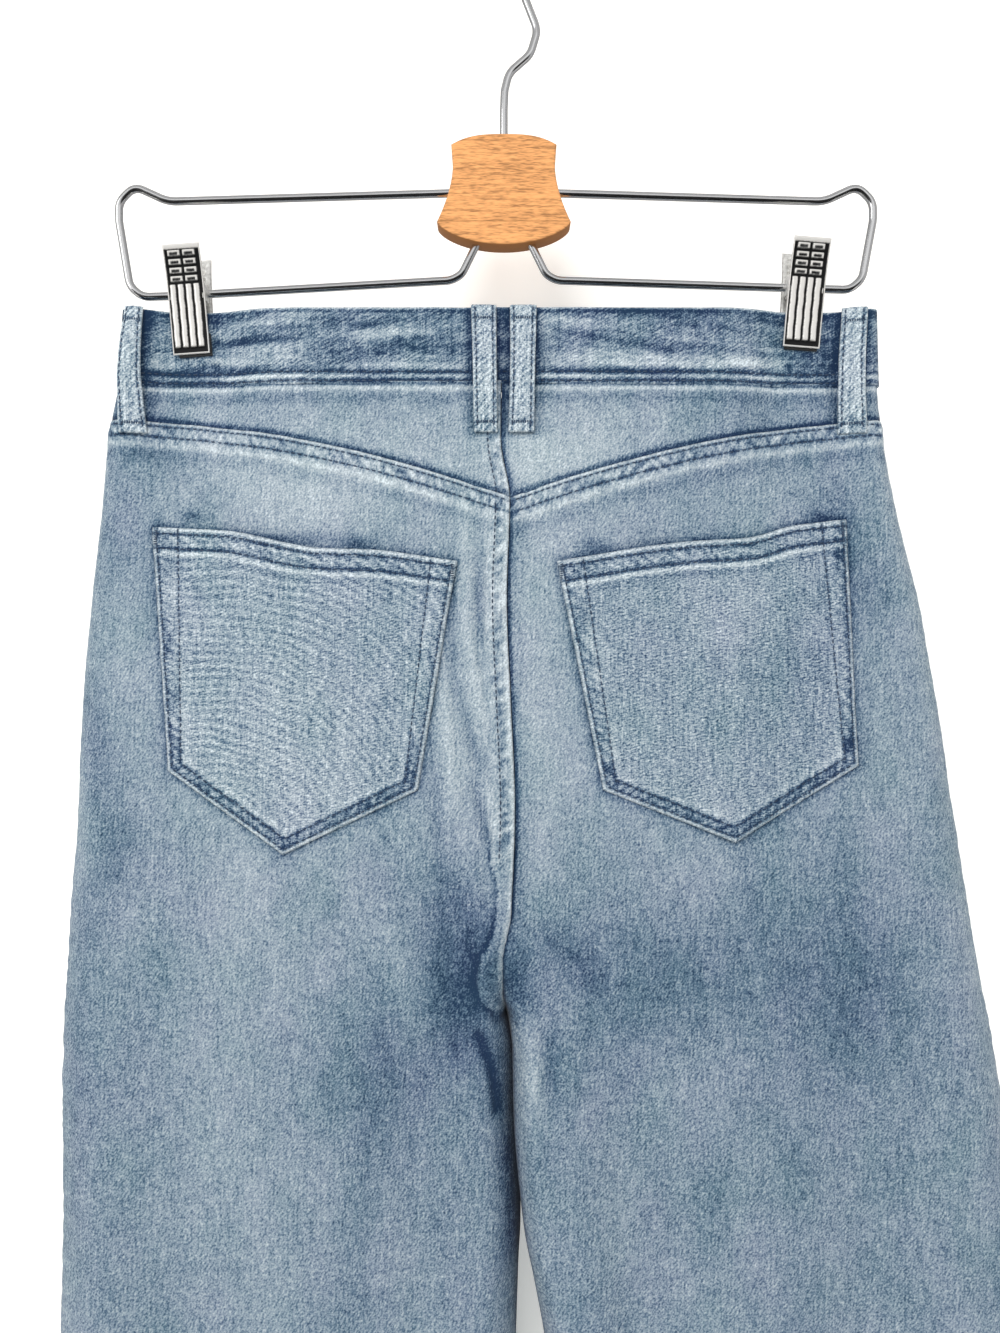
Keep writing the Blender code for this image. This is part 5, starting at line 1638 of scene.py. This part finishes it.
def clip_fittings(side, finish):
    """The ears that a clip's leaves turn on, and the coiled spring between them."""
    bm = bmesh.new()
    root = LEAF[2][1] - LEAF_WALL
    for face, way in (("front", -1.0), ("rear", 1.0)):
        for mirror in (-1.0, 1.0):
            middle = Vector((mirror * EAR_X[face], way * (root - EAR_PAST) / 2, 0.0))
            size = Matrix.Diagonal((LEAF_WALL, root + EAR_PAST, 2 * EAR_R, 1.0))
            bmesh.ops.create_cube(bm, size=1.0, matrix=Matrix.Translation(middle) @ size)
    bevelled(bm, bm.edges[:], EAR_EDGE, 2)
    start = -SPRING_TURNS * SPRING_PITCH / 2
    ring = bmesh.ops.create_circle(
        bm, cap_ends=False, radius=SPRING_WIRE, segments=10, matrix=Matrix.Translation((start, 0.0, SPRING_R))
    )["verts"]
    edges = list(dict.fromkeys(edge for vert in ring for edge in vert.link_edges))
    bmesh.ops.spin(
        bm, geom=edges + ring, cent=(start, 0.0, 0.0), axis=(1.0, 0.0, 0.0),
        dvec=(SPRING_PITCH / 24, 0.0, 0.0), angle=2 * pi * SPRING_TURNS, steps=24 * SPRING_TURNS,
        use_merge=False,
    )  # fmt: skip
    bmesh.ops.holes_fill(bm, edges=[edge for edge in bm.edges if edge.is_boundary])
    bmesh.ops.transform(bm, matrix=clip_place(side), verts=bm.verts)
    bmesh.ops.recalc_face_normals(bm, faces=bm.faces)
    name = f"clip_fittings_{side}"
    piece = piece_of(mesh_of(bm, name), name, finish)
    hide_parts(f"clip_{side}_spring")


# ---------------------------------------------------------------- zip
ZIP_TOP, ZIP_END = 0.0420, 0.1500
ZIP_WIDTH = 0.024
ZIP_SUNK = 0.0018
TAPE_WALL = 0.0007
TEETH = 70
TEETH_TOP = 0.0570
TOOTH_PITCH = 0.00125
TOOTH_ASIDE = 0.0008
TOOTH_SIZE = (0.0030, 0.0012, 0.0009)
TOOTH_BEHIND = 0.0009


def repaint(node, finish):
    """A solid whose shape is right keeps its mesh and takes a finish."""
    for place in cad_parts[node].material_slots:
        place.material = finish


def zip_cloth(tape, metal):
    """The zip's tape, and its two rows of closed teeth."""
    columns, rows = 24, 90
    mesh, column, down = grid("zip_tape", columns, rows)
    below = mix(ZIP_TOP, ZIP_END, down / rows)
    aside = (column / columns - 0.5) * ZIP_WIDTH
    x = level(below).left_in + aside
    marks = Marks(x, below)
    form = on_cloth("front", np.where(aside < 0, LEFT, RIGHT), x, below, -ZIP_SUNK)
    piece = cloth("zip_tape", mesh, form, marks, tape, TAPE_WALL, True)
    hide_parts("zip")

    def teeth(bm):
        for k in range(TEETH):
            below = TEETH_TOP + k * TOOTH_PITCH
            way = 1.0 if k % 2 else -1.0
            x = x_of("left_in", below) + way * TOOTH_ASIDE
            point = on_cloth("front", LEFT if way < 0 else RIGHT, x, below, -ZIP_SUNK)
            place = Matrix.Translation(Vector(point) + Vector((0.0, -TOOTH_BEHIND, 0.0)))
            bmesh.ops.create_cube(bm, size=1.0, matrix=place @ Matrix.Diagonal((*TOOTH_SIZE, 1.0)))

    stitched("zip_teeth", metal, teeth)
    return piece


# ---------------------------------------------------------------- what a user may change
class JeansLook(bpy.types.PropertyGroup):
    """Sizes and colours of the jeans' dressing."""

    fade: FloatProperty(
        name="Fade", description="How much paler the wash is than the usual one", default=0.0, min=-0.4,
        max=0.4,
    )
    crease: FloatProperty(
        name="Crease", description="Height of the fine creases, as a share of the usual one", default=1.0
    )
    weave_relief: FloatProperty(
        name="Weave relief", description="Strength of the twill's relief", default=0.45
    )
    stitch_length: FloatProperty(
        name="Stitch length", description="Length of the thread that shows in a stitch", default=0.0025,
        unit="LENGTH",
    )
    stitch_pitch: FloatProperty(
        name="Stitch pitch", description="Distance from one stitch to the next", default=0.0032, unit="LENGTH"
    )
    stitch_radius: FloatProperty(
        name="Stitch radius", description="Half the thickness of the thread", default=0.00042, unit="LENGTH"
    )
    wood_colour: FloatVectorProperty(
        name="Wood colour", description="Colour of the block's pale grain", subtype="COLOR",
        default=linear(225, 160, 102),
    )
    metal_roughness: FloatProperty(
        name="Chrome roughness", description="Roughness of the wire and the clips", default=0.16, min=0, max=1
    )
    wall_colour: FloatVectorProperty(
        name="Wall colour", description="Colour of the wall behind", subtype="COLOR",
        default=linear(250, 249, 245),
    )
    key_power: FloatProperty(
        name="Key light", description="Power of the main light", default=16.0, unit="POWER"
    )


class JeansOperator(bpy.types.Operator):
    """What the operators share."""

    bl_options = {"REGISTER", "UNDO"}


MADE = {}
FINISH = {}


def keep(piece, node):
    """Hides the solid that a finished cloth stands for, and keeps the cloth for the stitching to find."""
    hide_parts(node)
    MADE[piece.name] = piece


class JEANS_OT_finishes(JeansOperator):
    """Makes the materials: denim in four washes, thread, zip tape, metals, wood and rubber"""

    bl_idname = "jeans.finishes"
    bl_label = "Finishes"

    def execute(self, context):
        look = context.scene.jeans_look
        FINISH["denim"] = denim("washed_denim", 0.44, radians(60), 0.82)
        FINISH["band"] = denim("waistband_denim", 0.37, radians(30), 1.12, (0.0040, 0.0009))
        FINISH["loop"] = denim("loop_denim", 0.55, radians(50), 1.45, (0.0046, 0.0012))
        FINISH["pocket"] = denim("pocket_denim", 0.46, radians(14), 1.15, (0.0024, 0.0008))
        FINISH["thread"] = thread("tonal_thread", (42, 58, 80))
        FINISH["tape"] = plain("zip_tape", linear(70, 84, 104), 0.8)
        FINISH["chrome"] = plain("chrome", (0.80, 0.80, 0.81), look.metal_roughness, 1.0, 0.02, 0.03)
        FINISH["plating"] = plating("clip_plating")
        FINISH["leaf"] = plain("clip_steel", (0.84, 0.83, 0.80), 0.30, 0.5, 0.002, 0.25)
        FINISH["metal"] = plain("button_metal", (0.48, 0.46, 0.43), 0.35, 1.0)
        FINISH["wood"] = wood("beech")
        FINISH["rubber"] = plain("black_rubber", (0.02, 0.02, 0.02), 0.6)
        return {"FINISHED"}


class JEANS_OT_panels(JeansOperator):
    """Makes the four trouser panels"""

    bl_idname = "jeans.panels"
    bl_label = "Trouser panels"

    def execute(self, context):
        for side in WAYS:
            back = back_panel(side, FINISH["denim"])
            keep(back, f"back_panel_{side}")
            front = front_panel(side, FINISH["denim"])
            keep(front, f"front_panel_{side}")
        return {"FINISHED"}


class JEANS_OT_yokes(JeansOperator):
    """Makes the two halves of the back yoke"""

    bl_idname = "jeans.yokes"
    bl_label = "Yokes"

    def execute(self, context):
        for side in WAYS:
            keep(yoke_cloth(side, FINISH["denim"]), f"back_yoke_{side}")
        return {"FINISHED"}


class JEANS_OT_waistband(JeansOperator):
    """Makes the waistband's back and its two lapped fronts"""

    bl_idname = "jeans.waistband"
    bl_label = "Waistband"

    def execute(self, context):
        def flat(x):
            return np.zeros_like(x)

        def stepped_in(x):
            end = MIDDLE + LAP_OVER + GAP + 0.001 + LAP_STEP
            return (BAND_WALL + GAP) * ease((end - x) / LAP_STEP)

        finish = FINISH["band"]
        for name, face, stops, extra, node, cut in (
            ("back", "back", (None, None), flat, "waistband_back", "band_back"),
            ("front_left", "front", (None, LAP_OVER), flat, "waistband_front_left", "band_front"),
            ("front_right", "front", (-LAP_UNDER, None), stepped_in, "waistband_front_right", "band_front"),
        ):
            band = band_cloth(f"denim_waistband_{name}", face, stops, extra, finish)
            keep(band, node)
        return {"FINISHED"}


class JEANS_OT_loops(JeansOperator):
    """Makes the six belt loops"""

    bl_idname = "jeans.belt_loops"
    bl_label = "Belt loops"

    def execute(self, context):
        for name, loop in LOOPS.items():
            keep(loop_cloth(name, loop, FINISH["loop"]), name)
        return {"FINISHED"}


class JEANS_OT_pockets(JeansOperator):
    """Makes the back patch pockets and the facings in the front pockets' mouths"""

    bl_idname = "jeans.pockets"
    bl_label = "Pockets"

    def execute(self, context):
        for side in WAYS:
            pocket = pocket_cloth(side, FINISH["pocket"])
            keep(pocket, f"back_pocket_{side}")
            facing = facing_cloth(side, FINISH["denim"])
            keep(facing, f"pocket_facing_{side}")
        return {"FINISHED"}


class JEANS_OT_fastening(JeansOperator):
    """Makes the zip's tape and teeth, and finishes its slider and the button"""

    bl_idname = "jeans.fastening"
    bl_label = "Zip and button"

    def execute(self, context):
        tape = zip_cloth(FINISH["tape"], FINISH["metal"])
        keep(tape, "zip")
        repaint("zip_slider", FINISH["metal"])
        repaint("button", FINISH["metal"])
        return {"FINISHED"}


def band_line(below):
    return level_line(below, x_of("left_out", YOKE_SIDE) + 0.013, x_of("right_out", YOKE_SIDE) - 0.011)


def hem_line():
    return level_line(LENGTH - HEM_ROW, *HEM_SPAN)


def sew_back(bm):
    left, right = x_of("left_out", YOKE_SIDE), x_of("right_out", YOKE_SIDE)
    point = x_of("left_in", YOKE_POINT)
    band, yoke = surface("waistband_back"), surface("yoke_left")
    panels = surface("back_left", "back_right")
    lines = [(band, band_line(below)) for below in BAND_ROWS]
    for inward in LAP_ROWS:
        for start, end in ((left + 0.004, point - 0.001), (point + 0.002, right - 0.004)):
            lines.append((panels, moved_in(edge_line(yoke_seam, start, end), -inward)))
    lines += [
        (panels, moved_in(centre_line(YOKE_POINT + 0.003, SMOOTH_FROM), -0.0072)),
        (yoke, moved_in(centre_line(BAND_HEIGHT + 0.002, YOKE_POINT - 0.003), -0.0066)),
        (panels, hem_line()),
    ]
    for tree, line in lines:
        stitches(bm, tree, "back", line)


def sew_front(bm):
    left, right = x_of("left_out", YOKE_SIDE), x_of("right_out", YOKE_SIDE)
    band = surface("waistband_front_left", "waistband_front_right")
    panels = surface("front_left", "front_right")
    lines = [(band, band_line(below)) for below in (*BAND_ROWS, TOP_ROW)]
    flat = SCOOP_START + 0.001
    for inward in LAP_ROWS:
        for start, end in ((left + 0.006, MIDDLE - flat), (MIDDLE + flat, right - 0.006)):
            lines.append((panels, moved_in(edge_line(pocket_mouth, start, end), -inward)))
    lines += [(panels, fly_line(inward)) for inward in (0.0, 0.0050)]
    lines += [
        (panels, moved_in(centre_line(FLY_BEND + FLY_DEEP + 0.003, RISE - 0.004), -0.0020)),
        (panels, hem_line()),
    ]
    for tree, line in lines:
        stitches(bm, tree, "front", line)


def bar(x, below, wide, turn=0.0):
    """The line of a bar tack, level unless it is turned."""
    half = np.array([cos(turn), sin(turn)]) * wide / 2
    return np.array([x, below]) + np.array([-half, half])


def sew_pockets(bm):
    for side, shape in POCKETS.items():
        tree = surface(f"pocket_{side}")
        rim = pocket_outline(shape, rim_only=True)
        for k, (start, end) in enumerate(zip(rim, rim[1:])):
            stretch = np.linspace(start, end, 24)
            stitches(bm, tree, "back", moved_in(stretch, 0.0022), skip=0.0015)
            if k in (1, 2):
                stitches(bm, tree, "back", moved_in(stretch, 0.0068), skip=0.004)
        mouth = mouth_line(shape, 40, trim=0.002)
        for line in (*inner_rows(shape), moved_in(mouth, -0.0030), moved_in(mouth, -0.0105)):
            stitches(bm, tree, "back", line)
        for (x, below), way in ((shape.mouth[0], 1.0), (shape.mouth[-1], -1.0)):
            line = bar(x + way * 0.0022, below + 0.0055, POCKET_TACK, pi / 2)
            stitches(bm, tree, "back", line, tack=True)


def sew_loops(bm):
    for name, loop in LOOPS.items():
        tree = surface(name)
        t = np.linspace(0.02, 0.98, 30)
        middle, wide = loop_shape(loop, t)
        for way in (-1.0, 1.0):
            x = middle + way * (wide / 2 - LOOP_ROW)
            stitches(bm, tree, loop.face, np.stack([x, mix(LOOP_TOP, LOOP_END, t)], axis=-1))
        for below, x in zip(LOOP_TACKS, (loop.x_top, loop.x_end)):
            stitches(bm, tree, loop.face, bar(x, below, LOOP_TACK), tack=True)


class JEANS_OT_stitching(JeansOperator):
    """Lays the rows of stitches and the bar tacks on the cloth"""

    bl_idname = "jeans.stitching"
    bl_label = "Stitching"

    def execute(self, context):
        for name, slot, sew in (
            ("back", "washed_denim", sew_back), ("pockets", "washed_denim", sew_pockets),
            ("loops", "loop_denim", sew_loops), ("front", "washed_denim", sew_front),
        ):  # fmt: skip
            stitched(f"stitching_{name}", FINISH["thread"], sew)
        return {"FINISHED"}


class JEANS_OT_hanger(JeansOperator):
    """Makes the hook, the wire frame, the block and the two clips, and finishes the clips' pads"""

    bl_idname = "jeans.hanger"
    bl_label = "Clip hanger"

    def execute(self, context):
        wire("wire_hook", hook_path(), FINISH["chrome"], "hanger_hook")
        for side in WAYS:
            wire(f"wire_frame_{side}", frame_path(side), FINISH["chrome"], f"hanger_wire_{side}")
            for face in ("front", "rear"):
                clip_leaf(side, face, FINISH["plating"])
                repaint(f"clip_{side}_pad_{face}", FINISH["rubber"])
            clip_fittings(side, FINISH["leaf"])
        block(FINISH["wood"])
        return {"FINISHED"}


# ---------------------------------------------------------------- stage
ROOM_LIGHT = 0.44
# How much the wall and floor glow: painted light that lifts their shade.
WALL_GLOW = 0.30
WALL_AT = (0.0, 0.062, -0.3)
FLOOR_AT = (0.0, -1.0, -1.30)
WALL_REACH = 2.5
CAMERA_AT = (0.00905, -0.53, -0.3594)
CAMERA_LENS = 28.087
CAMERA_SENSOR = 36.0

Lamp = namedtuple("Lamp", "name at aim size share")
LAMPS = [
    Lamp("key", (-0.30, -1.45, 0.60), (0.0, 0.0, -0.35), (0.55, 0.55), 0.85),
    Lamp("fill", (1.1, -1.2, -0.2), (0.0, 0.0, -0.45), (1.2, 1.2), 0.35),
    Lamp("side", (-1.2, -1.0, 0.0), (0.0, 0.0, -0.45), (0.8, 1.4), 0.45),
]

# Cards that are seen only in reflections: a dark one in front of the wires and below them and a grey one
# behind, without which they would vanish against the wall, and a bright one over the dark one, which lights
# their upright stretches. Top and bottom are given as y and z.
Card = namedtuple("Card", "name top bottom reach glow")
CARDS = [
    Card("dark_card", (-0.90, -0.060), (0.04, -1.20), 1.10, 0.0),
    Card("grey_card", (0.058, 0.60), (0.058, -1.25), 1.10, 0.30),
    Card("bright_card", (-0.75, 0.42), (-0.75, 0.07), 0.70, 0.80),
]


def backdrop(name, place, finish):
    """A flat sheet of the stage: a square two metres across that its place sizes and turns."""
    bm = bmesh.new()
    bmesh.ops.create_grid(bm, x_segments=1, y_segments=1, size=1.0, matrix=place)
    mesh = mesh_of(bm, name)
    mesh.materials.append(finish)
    piece = bpy.data.objects.new(name, mesh)
    bpy.context.scene.collection.objects.link(piece)
    return piece


def wall_paint(colour):
    """Pale paint with a painted glow that lifts its shade, and that is clear from behind."""
    nodes = Nodes("wall_paint", 0.9)
    pale = Vector(colour)
    uneven = nodes.grain(nodes.spot(), (0.15, 0.15), detail=2.0)
    nodes.paint(nodes.ramp(uneven, [(0.3, pale * 0.99), (0.7, pale)]))
    glow(nodes.material, pale, WALL_GLOW)
    seen_behind = nodes.add("NewGeometry", {}, "Backfacing")
    clear = nodes.add("BsdfTransparent", {})
    shown = nodes.add("MixShader", {0: seen_behind, 1: nodes.shader.outputs[0], 2: clear})
    nodes.tree.links.new(shown, nodes.tree.nodes["Material Output"].inputs["Surface"])
    return nodes.material


def card(name, top, bottom, reach, strength):
    rise = Vector((0.0, top[0] - bottom[0], top[1] - bottom[1]))
    middle = Vector((0.0, (top[0] + bottom[0]) / 2, (top[1] + bottom[1]) / 2))
    turn = Matrix.Rotation(np.arctan2(rise.z, rise.y), 4, "X")
    size = Matrix.Diagonal((reach, rise.length / 2, 1.0, 1.0))
    finish = plain(name, (0.012, 0.012, 0.013), 1.0)
    glow(finish, (1.0, 1.0, 1.0), strength)
    piece = backdrop(name, Matrix.Translation(middle) @ turn @ size, finish)
    piece.visible_camera = piece.visible_diffuse = piece.visible_shadow = False


def area_light(name, at, aim, size, power):
    lamp = bpy.data.lights.new(name, "AREA")
    lamp.shape = "RECTANGLE"
    lamp.size, lamp.size_y = size
    lamp.energy = power
    light = bpy.data.objects.new(name, lamp)
    light.location = at
    light.rotation_euler = (Vector(aim) - Vector(at)).to_track_quat("-Z", "Y").to_euler()
    light.visible_glossy = name == "side"
    bpy.context.scene.collection.objects.link(light)


class JEANS_OT_stage(JeansOperator):
    """Sets up the wall, the floor, the lights and the camera"""

    bl_idname = "jeans.stage"
    bl_label = "Stage"

    def execute(self, context):
        scene = context.scene
        look = scene.jeans_look
        paint = wall_paint(look.wall_colour)
        upright = Matrix.Rotation(radians(90), 4, "X")
        size = Matrix.Diagonal((WALL_REACH, WALL_REACH, 1.0, 1.0))
        backdrop("wall", Matrix.Translation(WALL_AT) @ upright @ size, paint)
        backdrop("floor", Matrix.Translation(FLOOR_AT) @ size, paint)
        for name, at, aim, size, share in LAMPS:
            area_light(name, at, aim, size, look.key_power * share)
        for each in CARDS:
            card(*each)
        world = bpy.data.worlds.new("pale_room")
        world.use_nodes = True
        background = world.node_tree.nodes["Background"]
        background.inputs["Color"].default_value = (1.0, 1.0, 1.0, 1.0)
        background.inputs["Strength"].default_value = ROOM_LIGHT
        scene.world = world
        scene.view_settings.view_transform = "Standard"
        scene.view_settings.look = "None"
        camera = bpy.data.cameras.new("camera")
        camera.lens = CAMERA_LENS
        camera.sensor_width = CAMERA_SENSOR
        camera.clip_start = 0.01
        holder = bpy.data.objects.new("camera", camera)
        holder.location = CAMERA_AT
        holder.rotation_euler = (radians(90), 0.0, 0.0)
        scene.collection.objects.link(holder)
        scene.camera = holder
        return {"FINISHED"}


OPERATORS = (
    JEANS_OT_finishes, JEANS_OT_panels, JEANS_OT_yokes, JEANS_OT_waistband, JEANS_OT_loops, JEANS_OT_pockets,
    JEANS_OT_fastening, JEANS_OT_hanger, JEANS_OT_stitching, JEANS_OT_stage,
)  # fmt: skip


class JEANS_PT_panel(bpy.types.Panel):
    """Lists the pieces and the looks that can be changed"""

    bl_idname = "JEANS_PT_panel"
    bl_label = "Jeans on a hanger"
    bl_space_type = "VIEW_3D"
    bl_region_type = "UI"
    bl_category = "Jeans"

    def draw(self, context):
        for name in JeansLook.__annotations__:
            self.layout.prop(context.scene.jeans_look, name)
        for operator in OPERATORS:
            self.layout.operator(operator.bl_idname)


def register():
    for kind in (JeansLook, *OPERATORS, JEANS_PT_panel):
        bpy.utils.register_class(kind)
    bpy.types.Scene.jeans_look = PointerProperty(type=JeansLook)


def unregister():
    del bpy.types.Scene.jeans_look
    for kind in (JEANS_PT_panel, *reversed(OPERATORS), JeansLook):
        bpy.utils.unregister_class(kind)


def main():
    register()
    for operator in OPERATORS:
        group, _, name = operator.bl_idname.partition(".")
        getattr(getattr(bpy.ops, group), name)()


if __name__ == "__main__":
    main()
